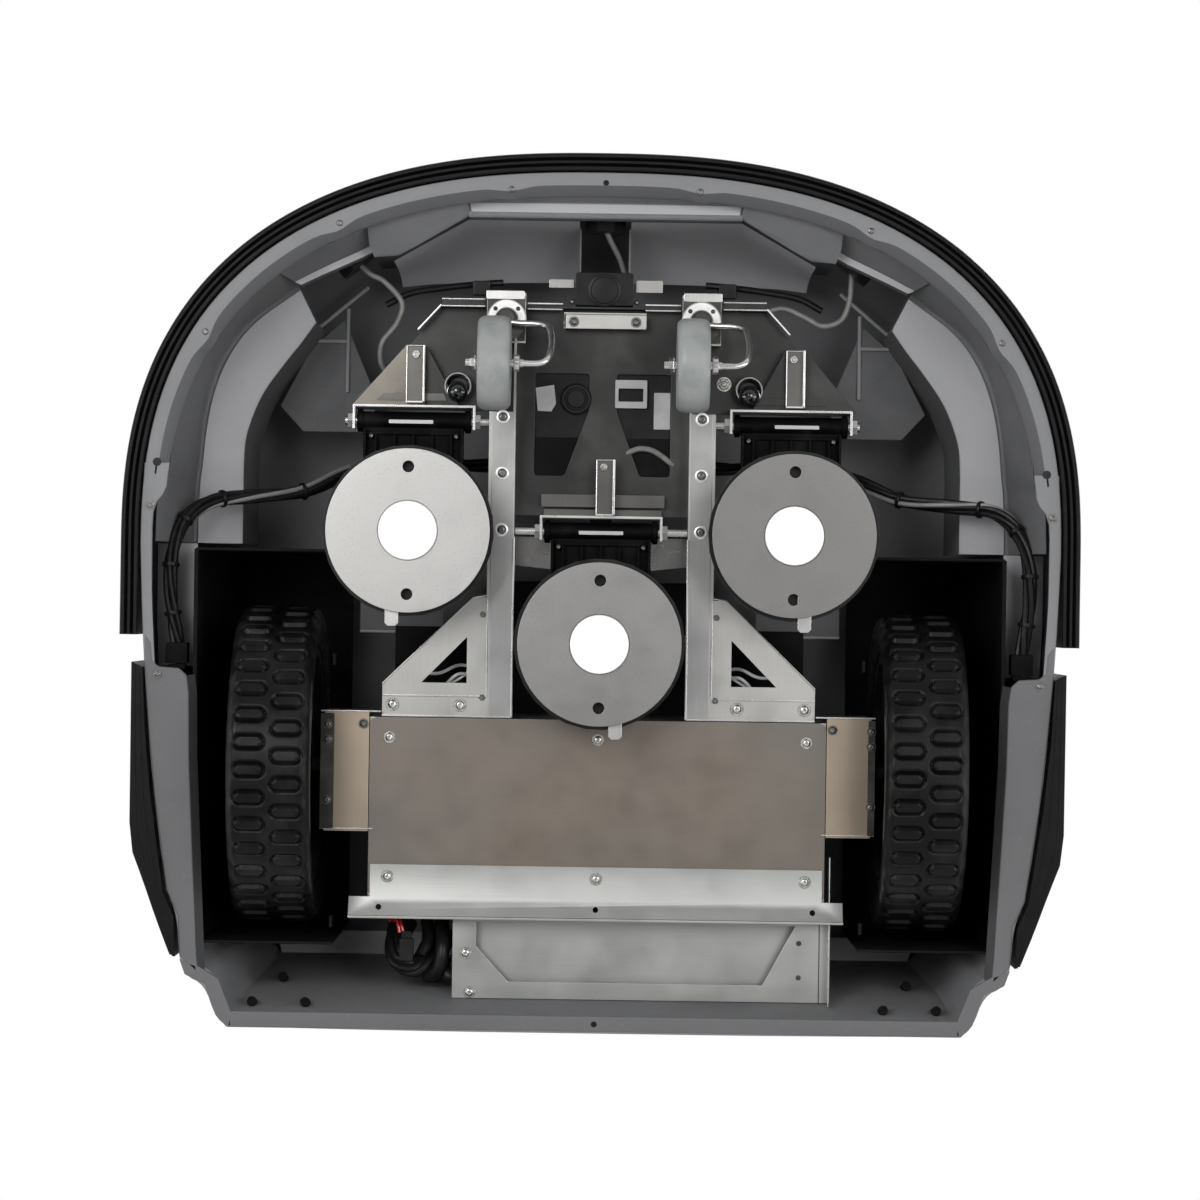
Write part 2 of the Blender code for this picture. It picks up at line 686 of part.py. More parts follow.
# ---------------------------------------------------------------- casters
def build_casters(materials):
    """The fork is one bent bar on a swivel stem, and carries the wheel on its end from one side."""
    half = CASTER_WIDTH / 2
    axle_z = CASTER_RADIUS - CASTER_FLANGE_Z
    # Measured from the swivel axis at the bearing's underside.
    bar = smooth_route(
        [
            (0.000, 0.004, -0.012),
            (0.014, 0.006, -0.016),
            (0.034, 0.007, -0.020),
            (0.045, 0.011, -0.027),
            (0.048, 0.022, -0.041),
            (0.048, 0.036, -0.062),
            (0.045, CASTER_TRAIL - 0.005, axle_z + 0.003),
            (0.036, CASTER_TRAIL, axle_z),
            (0.014, CASTER_TRAIL, axle_z),
        ],
        2,
    )
    axle = cylinder(
        (0.020, CASTER_TRAIL, axle_z), (CASTER_OFFSET - half - 0.008, CASTER_TRAIL, axle_z), 0.0045, 12
    )
    nut = cylinder(
        (CASTER_OFFSET - half - 0.0020, CASTER_TRAIL, axle_z),
        (CASTER_OFFSET - half - 0.0070, CASTER_TRAIL, axle_z),
        0.0075,
        6,
    )
    collar = cylinder((0.0105, CASTER_TRAIL, axle_z), (0.0165, CASTER_TRAIL, axle_z), 0.0085, 12)
    stem = cylinder((0, 0, -0.0005), (0, 0, -0.0170), 0.0090, 14)
    fork = combined([tube(bar, CASTER_ROD_RADIUS, 1), axle, nut, collar, stem])
    fork = finish_part("caster_fork_left", fork, materials["steel"])
    bore = 0.0045 + FIT
    wheel_profile = [
        (bore, -half + 0.003),
        (0.0360, -half + 0.003),
        (CASTER_RADIUS - 0.006, -half + 0.001),
        (CASTER_RADIUS, -half + 0.008),
    ]
    wheel_profile += [(radius, -height) for radius, height in reversed(wheel_profile)]
    wheel = finish_part("caster_wheel_left", turned(wheel_profile, 28, "X"), materials["caster"])
    for name, side in SIDES.items():
        swivel = Vector((side * CASTER_X, CASTER_Y, CASTER_FLANGE_Z))
        hub = swivel + Vector((CASTER_OFFSET, CASTER_TRAIL, axle_z))
        if name == "left":
            fork.location, wheel.location = swivel, hub
        else:
            copy_part("caster_fork_right", fork, swivel)
            copy_part("caster_wheel_right", wheel, hub)


# ---------------------------------------------------------------- cutting heads
def build_head_brackets(materials):
    """A folded U with the pivot shaft through its ears. The shaft runs on to the nearest beam."""
    half, ear_rear = 0.0650, 0.009
    low, high = 0.1395, 0.1655
    for name, (x, y) in HEADS.items():
        pivot_y = y - ARM_LENGTH
        web_y = pivot_y - 0.0145
        web = box((x - half, web_y - SHEET, low), (x + half, web_y, high))
        ears = [
            box((x + side * (half - SHEET), web_y - SHEET, low), (x + side * half, pivot_y + ear_rear, high))
            for side in (-1, 1)
        ]
        if name == "center":
            reach = [-BEAM_X[0] + GAP, BEAM_X[0] - GAP]
        else:
            toward = -1 if x > 0 else 1
            reach = sorted((x + toward * (HEAD_PITCH - BEAM_X[1] - GAP), x - toward * (half + 0.0080)))
        shaft = cylinder((reach[0], pivot_y, PIVOT_Z), (reach[1], pivot_y, PIVOT_Z), 0.0050, 16)
        nuts = [
            cylinder(
                (x + side * (half - 0.0005), pivot_y, PIVOT_Z),
                (x + side * (half + 0.0055), pivot_y, PIVOT_Z),
                0.0085,
                6,
            )
            for side in (-1, 1)
        ]
        bracket = combined([web, *ears, shaft, *nuts])
        finish_part(f"head_bracket_{name}", bracket, materials["steel"], (x, pivot_y, PIVOT_Z))


def head_arm_solid():
    """Barrel, plate, spindle housing and motor, measured from the pivot, with the head at +Y."""
    length = ARM_LENGTH
    half = 0.0530
    barrel = cylinder((-0.0605, 0, 0), (0.0605, 0, 0), 0.0100, 20)
    end = [(half, 0.0075), (half, length - 0.010), (half - 0.014, length + 0.030), (0.018, length + 0.047)]
    outline = [*end, *[(-x, y) for x, y in reversed(end)]]
    plate = prism(outline, -0.0085, -0.0025)
    housing = cone((0, length, -0.0840), (0, length, -0.0060), 0.0470, 0.0400, 24)
    motor = cylinder((0, length, -0.0040), (0, length, 0.0620), 0.0320, 20)
    bore = cylinder((-0.08, 0, 0), (0.08, 0, 0), 0.0050 + FIT, 16)
    spindle_bore = cylinder((0, length, -0.0900), (0, length, -0.0620), 0.0100 + FIT, 20)
    return combined([plate, barrel, housing, motor], [bore, spindle_bore])


def blade_disc_solid():
    """The driven disc with its shaft, its spindle for the glide disc and three blade pins."""
    disc = turned(
        [
            (0, 0.0330),
            (0.0100, 0.0330),
            (0.0100, 0.0110),
            (0.0240, 0.0110),
            (0.0240, 0.0050),
            (0.0890, 0.0050),
            (0.0890, 0.0000),
            (0.0080, 0.0000),
            (0.0080, -0.0060),
            (0, -0.0060),
        ],
        28,
    )
    pins = []
    for i in range(3):
        angle = math.radians(90 + 120 * i)
        x, y = BLADE_PIN_RADIUS * math.cos(angle), BLADE_PIN_RADIUS * math.sin(angle)
        pins.append(cylinder((x, y, 0.0010), (x, y, -0.0065), 0.0028, 8))
        pins.append(cylinder((x, y, -0.0060), (x, y, -0.0080), 0.0055, 8))
    return combined([disc, *pins])


def glide_disc_solid():
    """The loose steel disc that runs on the grass, with a hub cup behind its central hole."""
    holes = [circle(0, side * 0.066, 0.0060, 10) for side in (-1, 1)]
    disc = prism(circle(0, 0, 0.0862, 40), 0, 0.0025, holes=[circle(0, 0, 0.0312, 24), *holes])
    cup = turned(
        [
            (0, 0.0020),
            (0.0330, 0.0020),
            (0.0330, 0.0045),
            (0.0135, 0.0045),
            (0.0135, 0.0105),
            (0.0080 + FIT, 0.0105),
            (0.0080 + FIT, 0.0058),
            (0, 0.0058),
        ],
        20,
    )
    return combined([disc, cup])


def blade_solid():
    """A flat blade from its pin hole out along +Y, with a ground tip."""
    half = BLADE_WIDTH / 2
    tip = BLADE_REACH
    outline = [(half, 0), (half, tip - 0.003), (half - 0.003, tip), (-half + 0.003, tip), (-half, tip - 0.003)]
    outline += [(half * math.cos(t), half * math.sin(t)) for t in (math.pi * (1 + i / 4) for i in range(5))]
    return prism(outline, -0.0010, 0.0010, holes=[circle(0, 0, 0.0038, 8)])


def build_heads(materials):
    arm = finish_part("head_arm_left", head_arm_solid(), materials["black"])
    disc = finish_part("blade_disc_left", blade_disc_solid(), materials["black"])
    glide = finish_part("glide_disc_left", glide_disc_solid(), materials["steel"])
    blade = finish_part("blade_left_1", blade_solid(), materials["steel"])
    disc_z, glide_z, blade_z = 0.0525, 0.0400, 0.0486
    for name, (x, y) in HEADS.items():
        # The disc's first pin sits where its blade hangs to the rear at the place stated.
        turn = -math.asin(REAR_BLADE_X[name] / BLADE_PIN_RADIUS)
        if name == "left":
            arm.location = (x, y - ARM_LENGTH, PIVOT_Z)
            disc.location, disc.rotation_euler = (x, y, disc_z), (0, 0, turn)
            glide.location = (x, y, glide_z)
        else:
            copy_part(f"head_arm_{name}", arm, (x, y - ARM_LENGTH, PIVOT_Z))
            copy_part(f"blade_disc_{name}", disc, (x, y, disc_z), turn)
            copy_part(f"glide_disc_{name}", glide, (x, y, glide_z))
        for i in range(3):
            angle = math.radians(90 + 120 * i) + turn
            place = (
                x + BLADE_PIN_RADIUS * math.cos(angle),
                y + BLADE_PIN_RADIUS * math.sin(angle),
                blade_z,
            )
            if name == "left" and i == 0:
                blade.location = place
            else:
                copy_part(f"blade_{name}_{i + 1}", blade, place)


def build_lift(materials):
    """The height actuator stands behind the control box and raises a T-shaped yoke over the heads."""
    body = combined(
        [
            box((-0.024, -0.0900, DECK_Z[1] + GAP), (0.024, -0.0815, 0.3000)),
            cylinder((0, -0.0500, 0.2000), (0, -0.0500, 0.3000), 0.0190),
            box((-0.012, -0.0860, 0.2100), (0.012, -0.0500, 0.2900)),
        ]
    )
    finish_part("lift_actuator", body, materials["black"])
    yoke_z = 0.3060
    bar = [(-0.214, -0.060), (0.214, -0.060), (0.214, -0.040), (0.014, -0.020), (0.014, 0.064)]
    bar += [(-0.014, 0.064), (-0.014, -0.020), (-0.214, -0.040)]
    yoke = combined(
        [
            prism(bar, yoke_z, yoke_z + 0.004),
            cylinder((0, -0.0500, yoke_z - 0.004), (0, -0.0500, yoke_z + 0.002), 0.0080, 16),
            *[
                box((x - 0.006, y - 0.0015, yoke_z - 0.016), (x + 0.006, y + 0.0015, yoke_z + 0.002))
                for x, y in ((-0.200, -0.050), (0.200, -0.050), (0.0, 0.055))
            ],
        ]
    )
    finish_part("lift_yoke", yoke, materials["steel"], (0, -0.050, yoke_z))


# ---------------------------------------------------------------- wiring and sensors
def build_sonars(materials):
    """Each ultrasonic sensor with the lead moulded into it, led back to the control box."""
    leads = {
        "left": [
            (-0.2660, -0.3500, 0.205),
            (-0.2520, -0.3380, 0.204),
            (-0.2370, -0.3300, 0.203),
            (-0.2180, -0.3080, 0.200),
            (-0.2230, -0.2850, 0.197),
            (-0.2390, -0.2620, 0.195),
            (-0.2350, -0.2350, 0.200),
            (-0.2000, -0.2150, 0.215),
            (-0.1550, -0.2150, 0.225),
            (-0.1155, -0.2150, 0.225),
        ],
        "right": [
            (0.2660, -0.3500, 0.205),
            (0.2640, -0.3180, 0.203),
            (0.2550, -0.2960, 0.200),
            (0.2350, -0.2890, 0.200),
            (0.2150, -0.2990, 0.205),
            (0.1900, -0.3080, 0.212),
            (0.1600, -0.2950, 0.220),
            (0.1350, -0.2700, 0.225),
            (0.1160, -0.2550, 0.225),
        ],
        "center": [
            (0.0000, -0.3900, 0.205),
            (0.0060, -0.3780, 0.210),
            (0.0180, -0.3550, 0.220),
            (0.0250, -0.3250, 0.225),
            (0.0200, -0.3000, 0.225),
            (0.0200, -0.2865, 0.225),
        ],
    }
    for name, (face, look) in sonar_places().items():
        barrel = cylinder(face, face - look * 0.030, SONAR_RADIUS, 20)
        block = cylinder(face - look * 0.022, face - look * 0.044, 0.0235, 8)
        lead = tube(smooth_route(leads[name], 2), 0.0028, 1)
        finish_part(f"sonar_{name}", combined([barrel, block, lead]), materials["black"])


def build_looms(materials):
    """The bundles from the control box round the wheel wells, and the one behind the chassis box."""
    half = [
        (0.1170, -0.1350, 0.230),
        (0.1500, -0.1350, 0.232),
        (0.2100, -0.1380, 0.232),
        (0.2700, -0.1250, 0.215),
        (0.3200, -0.1030, 0.190),
        (0.3750, -0.0960, 0.170),
        (0.4150, -0.0900, 0.150),
        (0.4400, -0.0700, 0.135),
        (0.4520, -0.0350, 0.125),
        (0.4530, 0.0050, 0.120),
        (0.4480, 0.0400, 0.118),
        (0.4440, 0.0640, 0.118),
    ]
    for name, side in SIDES.items():
        route = smooth_route([(side * x, y, z) for x, y, z in half], 2)
        plug = mirrored_box(side, (0.4330, 0.0600, 0.1080), (0.4560, 0.0820, 0.1280))
        finish_part(f"harness_{name}", combined([tube(route, 0.0080, 1), plug]), materials["rubber"])
    route = smooth_route(
        [
            (-0.2050, 0.3200, 0.215),
            (-0.2060, 0.3450, 0.208),
            (-0.2150, 0.3700, 0.185),
            (-0.2120, 0.3950, 0.165),
            (-0.1930, 0.4050, 0.162),
            (-0.1760, 0.3980, 0.170),
            (-0.1600, 0.3980, 0.174),
        ],
        3,
    )
    finish_part("rear_loom", tube(route, 0.0090, 1), materials["rubber"])


# ---------------------------------------------------------------- controls on top
def build_controls(materials):
    panel = prism(
        rounded([(-0.130, -0.011), (0.130, -0.011), (0.130, 0.226), (-0.130, 0.226)], 0.010),
        0.4140,
        0.4238,
    )
    finish_part("console_panel", panel, materials["black"])
    lid_z = HATCH_TOP_Z + 0.0008
    half_x, front, rear = 0.134, -0.014, 0.229
    corners = [(-half_x, front), (half_x, front), (half_x, rear), (-half_x, rear)]
    lid = prism(rounded(corners, 0.022), lid_z, lid_z + 0.012)
    bevel = lid.modifiers.new("edge", "BEVEL")
    bevel.width = 0.005
    bevel.segments = 1
    bevel.limit_method = "ANGLE"
    bevel.angle_limit = math.radians(60)
    lid = mesh_object(evaluated_bmesh(lid))
    finish_part("hatch_lid", lid, materials["hood"], (0, front, lid_z))
    button = turned(
        [
            (0, 0.0180),
            (0.0180, 0.0165),
            (0.0290, 0.0110),
            (0.0310, 0.0070),
            (0.0290, 0.0020),
            (0.0150, 0.0000),
            (0.0150, -0.0380),
            (0, -0.0380),
        ],
        24,
    )
    finish_part("stop_button", button, materials["red"]).location = (0, BUTTON_Y, 0.4370)


def main():
    clear_scene()
    bpy.context.scene.collection.children.link(bpy.data.collections.new("robotic_mower"))
    materials = make_materials()
    build_hood(materials)
    build_bumpers(materials)
    build_wheel_wells(materials)
    build_chassis_box(materials)
    build_tail_flange(materials)
    build_rear_tray(materials)
    build_beams(materials)
    build_deck(materials)
    build_drive(materials)
    build_battery_and_control(materials)
    build_casters(materials)
    build_head_brackets(materials)
    build_heads(materials)
    build_lift(materials)
    build_sonars(materials)
    build_looms(materials)
    build_controls(materials)


main()
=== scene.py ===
"""Looks for a commercial robotic mower seen from below: finishes, fasteners and fine shapes on the CAD frame.

Lengths are metres, and the numbers inside mm() and boxes() are millimetres. The front is -Y and the left side is -X.
"""

import json
import math

import bmesh
import bpy
from mathutils import Matrix, Vector
from mathutils.bvhtree import BVHTree


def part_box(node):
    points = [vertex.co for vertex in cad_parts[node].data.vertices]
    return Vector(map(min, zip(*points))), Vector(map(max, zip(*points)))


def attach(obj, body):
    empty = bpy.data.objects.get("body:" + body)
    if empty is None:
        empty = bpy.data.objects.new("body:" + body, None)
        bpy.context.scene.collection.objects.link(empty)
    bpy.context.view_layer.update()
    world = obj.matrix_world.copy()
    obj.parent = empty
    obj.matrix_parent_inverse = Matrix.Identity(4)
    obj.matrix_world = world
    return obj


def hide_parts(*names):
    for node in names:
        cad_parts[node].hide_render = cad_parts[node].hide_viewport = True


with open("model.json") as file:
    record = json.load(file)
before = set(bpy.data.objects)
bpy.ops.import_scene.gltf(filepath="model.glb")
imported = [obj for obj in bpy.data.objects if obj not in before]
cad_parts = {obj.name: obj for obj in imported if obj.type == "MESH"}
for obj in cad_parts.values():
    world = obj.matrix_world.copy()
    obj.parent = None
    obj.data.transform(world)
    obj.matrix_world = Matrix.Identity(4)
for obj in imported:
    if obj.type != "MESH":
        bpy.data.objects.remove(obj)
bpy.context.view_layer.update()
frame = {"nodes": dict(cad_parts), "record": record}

NODE_BODY = {node: body for body, nodes in frame["record"]["behaviour"]["bodies"].items() for node in nodes}
SIDES = {"left": -1, "right": 1}
HEADS = {"left": (-0.2, -0.06), "right": (0.2, -0.06), "center": (0.0, 0.055)}
DOWN = Vector((0, 0, -1))
ARM_LENGTH, PIVOT_Z = 0.118, 0.15
RIM_HALF_WIDTH, RIM_FRONT_DEPTH, WIDEST_Y, REAR_Y = 0.481, 0.394, -0.0435, 0.462
RIM_Z = 0.08
WHEEL_X, WHEEL_Y, WHEEL_Z = 0.3385, 0.188, 0.168
STOP_BUTTON = (0, 0.3)
ALONG_X, ALONG_Y = (14, 900, 900), (900, 14, 900)


# ---------------------------------------------------------------- materials
class Finish:
    """One procedural material, built up from noises in the piece's own frame."""

    def __init__(self, name, colour, roughness, metallic=0.0, slot=None):
        self.material = bpy.data.materials.new(name)
        self.material.use_nodes = True
        self.tree = self.material.node_tree
        self.shader = self.tree.nodes["Principled BSDF"]
        self.place = self.node("TexCoord").outputs["Object"]
        self.set({"Metallic": metallic, "Roughness": roughness, "Base Color": (*colour, 1)})
        self.material.diffuse_color = (*colour, 1)
        self.base, self.roughness, self.slot = colour, roughness, slot
        self.colour = self.normal = None

    def set(self, values):
        for key, value in values.items():
            self.shader.inputs[key].default_value = value
        return self

    def node(self, kind, values={}, **linked):
        made = self.tree.nodes.new("ShaderNode" + kind)
        for key, value in values.items():
            made.inputs[key].default_value = value
        for key, output in linked.items():
            self.tree.links.new(output, made.inputs[key])
        return made

    def noise(self, scale, detail=3.0, stretch=None, shift=0.0):
        where = self.place
        if stretch or shift:
            values = {"Scale": stretch or (1, 1, 1), "Location": (shift, shift * 0.7, shift * 0.4)}
            where = self.node("Mapping", values, Vector=where).outputs["Vector"]
        return self.node("TexNoise", {"Scale": scale, "Detail": detail}, Vector=where).outputs["Fac"]

    def spread(self, value, low, high, out_low=0.0, out_high=1.0):
        ends = {"From Min": low, "From Max": high, "To Min": out_low, "To Max": out_high}
        return self.node("MapRange", ends, Value=value).outputs["Result"]

    def patches(self, scale, colour, low=0.42, high=0.66, detail=3.0, stretch=None, shift=0.0, most=1.0):
        """Blends towards colour where a noise is high."""
        factor = self.spread(self.noise(scale, detail, stretch, shift), low, high, 0, most)
        mix = self.node("Mix", Factor=factor)
        mix.data_type = "RGBA"
        before, after = [s for s in mix.inputs if s.type == "RGBA"]
        if self.colour:
            self.tree.links.new(self.colour, before)
        before.default_value = before.default_value if self.colour else (*self.base, 1)
        after.default_value = (*colour, 1)
        self.colour = next(s for s in mix.outputs if s.type == "RGBA")
        self.tree.links.new(self.colour, self.shader.inputs["Base Color"])
        return self

    def vary_roughness(self, scale, amount):
        low, high = max(self.roughness - amount, 0.03), min(self.roughness + amount, 1.0)
        varied = self.spread(self.noise(scale, 4, None, 3.1), 0.3, 0.7, low, high)
        self.tree.links.new(varied, self.shader.inputs["Roughness"])
        return self

    def relief(self, scale, depth, detail=2.0, stretch=None):
        """Fine bumps of the given depth in metres."""
        height = self.noise(scale, detail, stretch, 1.7)
        bump = self.node("Bump", {"Strength": 1.0, "Distance": depth}, Height=height)
        if self.normal:
            self.tree.links.new(self.normal, bump.inputs["Normal"])
        self.normal = bump.outputs["Normal"]
        self.tree.links.new(self.normal, self.shader.inputs["Normal"])
        return self

    def dim(self, level):
        return self.set({"Specular IOR Level": level})

    def coat(self, weight, roughness):
        return self.set({"Coat Weight": weight, "Coat Roughness": roughness})


def steel(name, colour, warm, roughness, stretch, slot="stainless_sheet"):
    """Rolled or brushed sheet, with the grain along the axis that stretch leaves small."""
    made = Finish(name, colour, roughness, 1.0, slot).patches(7, warm, 0.4, 0.7, 4)
    made.patches(55, [c * 0.86 for c in colour], 0.54, 0.82, 5, shift=2.0, most=0.3)
    made.patches(1, [c * 1.12 for c in colour], 0.5, 0.75, 3, stretch, most=0.45)
    return made.vary_roughness(24, 0.05).relief(1, 0.000014, 3, stretch).relief(420, 0.00001)


def moulded(name, colour, roughness, patch, speck, scale=5, depth=0.00008):
    """The hood's plastic inside: broad patches, darker specks and a fine grain."""
    made = Finish(name, colour, roughness, slot="hood_plastic").patches(scale, patch, 0.4, 0.7)
    return made.patches(240, speck, 0.62, 0.8, most=0.5).vary_roughness(40, 0.08).relief(900, depth)


def smooth_plastic(name, colour, roughness, patch, speck):
    """The hood's plastic outside: broad patches, lighter specks and a fine grain."""
    made = Finish(name, colour, roughness, slot="hood_plastic").patches(6, patch, 0.4, 0.72)
    return made.patches(160, speck, 0.6, 0.8).vary_roughness(30, 0.06).relief(900, 0.0001)


def plain(name, colour, roughness, metallic, slot, patch, scale, low, high, vary, amount):
    """One colour with patches of another, and an uneven roughness."""
    made = Finish(name, colour, roughness, metallic, slot)
    return made.patches(scale, patch, low, high).vary_roughness(vary, amount)


def make_finishes():
    """Every finish of the machine, by its key."""
    made = {}
    hood = smooth_plastic("hood_plastic", (0.182, 0.184, 0.191), 0.5, (0.174, 0.176, 0.183), (0.2, 0.202, 0.209))
    made["hood"] = hood.relief(90, 0.00012)
    # The rear and side flanges take a darker copy of the hood plastic: painted shade where the light falls off towards
    # the rear.
    patch, speck = (0.102, 0.103, 0.107), (0.13, 0.131, 0.135)
    made["rim_rear_shaded"] = smooth_plastic("rim_rear_shaded", (0.112, 0.113, 0.117), 0.54, patch, speck)
    # The lining, shelf, inner skin and ledge are lit and shaded copies of one grey plastic: the shelf is painted pale
    # where light falls, the inner skin painted dark as shade, and the lining and ledge lie between.
    for key, *look in (("lining", "hood_lining", (0.325, 0.328, 0.338), 0.56, (0.285, 0.288, 0.297),
        (0.24, 0.24, 0.245), 5, 0.0001), ("shelf", "hood_shelf", (0.74, 0.742, 0.765), 0.52, (0.67, 0.672, 0.69),
        (0.58, 0.58, 0.59), 4), ("inner", "hood_inner_skin", (0.125, 0.127, 0.132), 0.6, (0.1, 0.102, 0.106),
        (0.05, 0.05, 0.05)), ("ledge", "hood_ledge", (0.36, 0.363, 0.374), 0.5, (0.33, 0.333, 0.343),
        (0.28, 0.28, 0.285))):
        made[key] = moulded(*look)
    well = Finish("well_plastic", (0.0035, 0.0035, 0.0037), 0.7, slot="black_plastic").dim(0.12)
    well.patches(9, (0.01, 0.0098, 0.0095), 0.55, 0.8).patches(120, (0.022, 0.021, 0.02), 0.7, 0.84, most=0.5)
    made["well"] = well.vary_roughness(25, 0.1).relief(700, 0.00012)
    tyre = Finish("tyre_rubber", (0.0026, 0.0026, 0.0029), 0.38, slot="tyre_rubber").dim(0.18)
    tyre.patches(26, (0.012, 0.0118, 0.0112), 0.52, 0.78).patches(300, (0.02, 0.019, 0.018), 0.68, 0.82, most=0.4)
    made["tyre"] = tyre.vary_roughness(50, 0.12).relief(700, 0.00018)
    caster = Finish("caster_rubber", (0.262, 0.275, 0.268), 0.44, slot="grey_rubber")
    caster.patches(40, (0.2, 0.214, 0.214), 0.45, 0.7).patches(220, (0.14, 0.145, 0.145), 0.64, 0.8, most=0.5)
    made["caster"] = caster.vary_roughness(60, 0.1).relief(500, 0.0001)
    # These sheet levels are set part by part to how bright each part shows under the light: lit and shaded copies of
    # one stainless steel and one aluminium, painted light and shade from the pale bright steel to the near-black deck.
    # The mottles and brushing are the sheets' own.
    sheet = "aluminium_sheet"
    for key, *look in (("steel", "stainless_sheet", (0.34, 0.335, 0.325), (0.3, 0.29, 0.275), 0.36, ALONG_Y),
        ("gusset", "stainless_gusset", (0.43, 0.425, 0.41), (0.37, 0.358, 0.335), 0.38, ALONG_Y),
        ("steel_x", "stainless_sheet_across", (0.46, 0.45, 0.43), (0.4, 0.385, 0.36), 0.34, ALONG_X),
        ("bright", "stainless_bright", (0.66, 0.655, 0.645), (0.6, 0.59, 0.575), 0.28, ALONG_Y),
        ("beam", "stainless_beam", (0.38, 0.38, 0.378), (0.34, 0.338, 0.332), 0.36, ALONG_Y),
        ("plate", "stainless_plate", (0.19, 0.17, 0.15), (0.2, 0.168, 0.14), 0.42, ALONG_X),
        ("floor", "stainless_floor", (0.11, 0.107, 0.102), (0.14, 0.135, 0.126), 0.34, ALONG_Y),
        ("support", "stainless_support", (0.165, 0.154, 0.138), (0.205, 0.187, 0.162), 0.3, ALONG_X),
        ("deck", "stainless_deck", (0.036, 0.036, 0.0355), (0.052, 0.052, 0.0505), 0.4, ALONG_X),
        ("tan", "stainless_tan", (0.36, 0.3, 0.235), (0.4, 0.325, 0.245), 0.4, ALONG_Y),
        ("alloy", "alloy_sheet", (0.41, 0.415, 0.4), (0.37, 0.372, 0.36), 0.4, ALONG_X, sheet),
        ("tray_lid", "tray_lid_sheet", (0.19, 0.193, 0.185), (0.168, 0.17, 0.163), 0.5, ALONG_X, sheet),
        ("tray", "tray_sheet", (0.4, 0.405, 0.39), (0.35, 0.354, 0.34), 0.4, ALONG_X, sheet)):
        made[key] = steel(*look)
    plate = made["plate"].patches(7, (0.205, 0.168, 0.156), 0.5, 0.76, 3, shift=7.0, most=0.55)
    plate.patches(60, (0.215, 0.192, 0.17), 0.52, 0.72, 4, ALONG_X, most=0.5)
    plate.patches(4.5, (0.168, 0.158, 0.146), 0.45, 0.62, 2, shift=5.0, most=0.8)
    made["deck"].patches(16, (0.068, 0.068, 0.066), 0.48, 0.7, 5, shift=4.0, most=0.8)
    # Each disc's level is painted light and shade: the left disc is a lit copy of the steel, the right one a shaded
    # copy, and the centre one between. Their mottles and specks are the steel's own.
    for name, level in {"left": 0.43, "right": 0.205, "center": 0.245}.items():
        glide = Finish(f"glide_{name}", (level, level * 0.985, level * 0.96), 0.42, 1.0, "stainless_sheet")
        glide.patches(5, (level * 0.94, level * 0.915, level * 0.885), 0.42, 0.7)
        glide.patches(420, [level * 0.76] * 3, 0.56, 0.76, 2, most=0.6)
        made[f"glide_{name}"] = glide.vary_roughness(30, 0.04).relief(520, 0.00005)

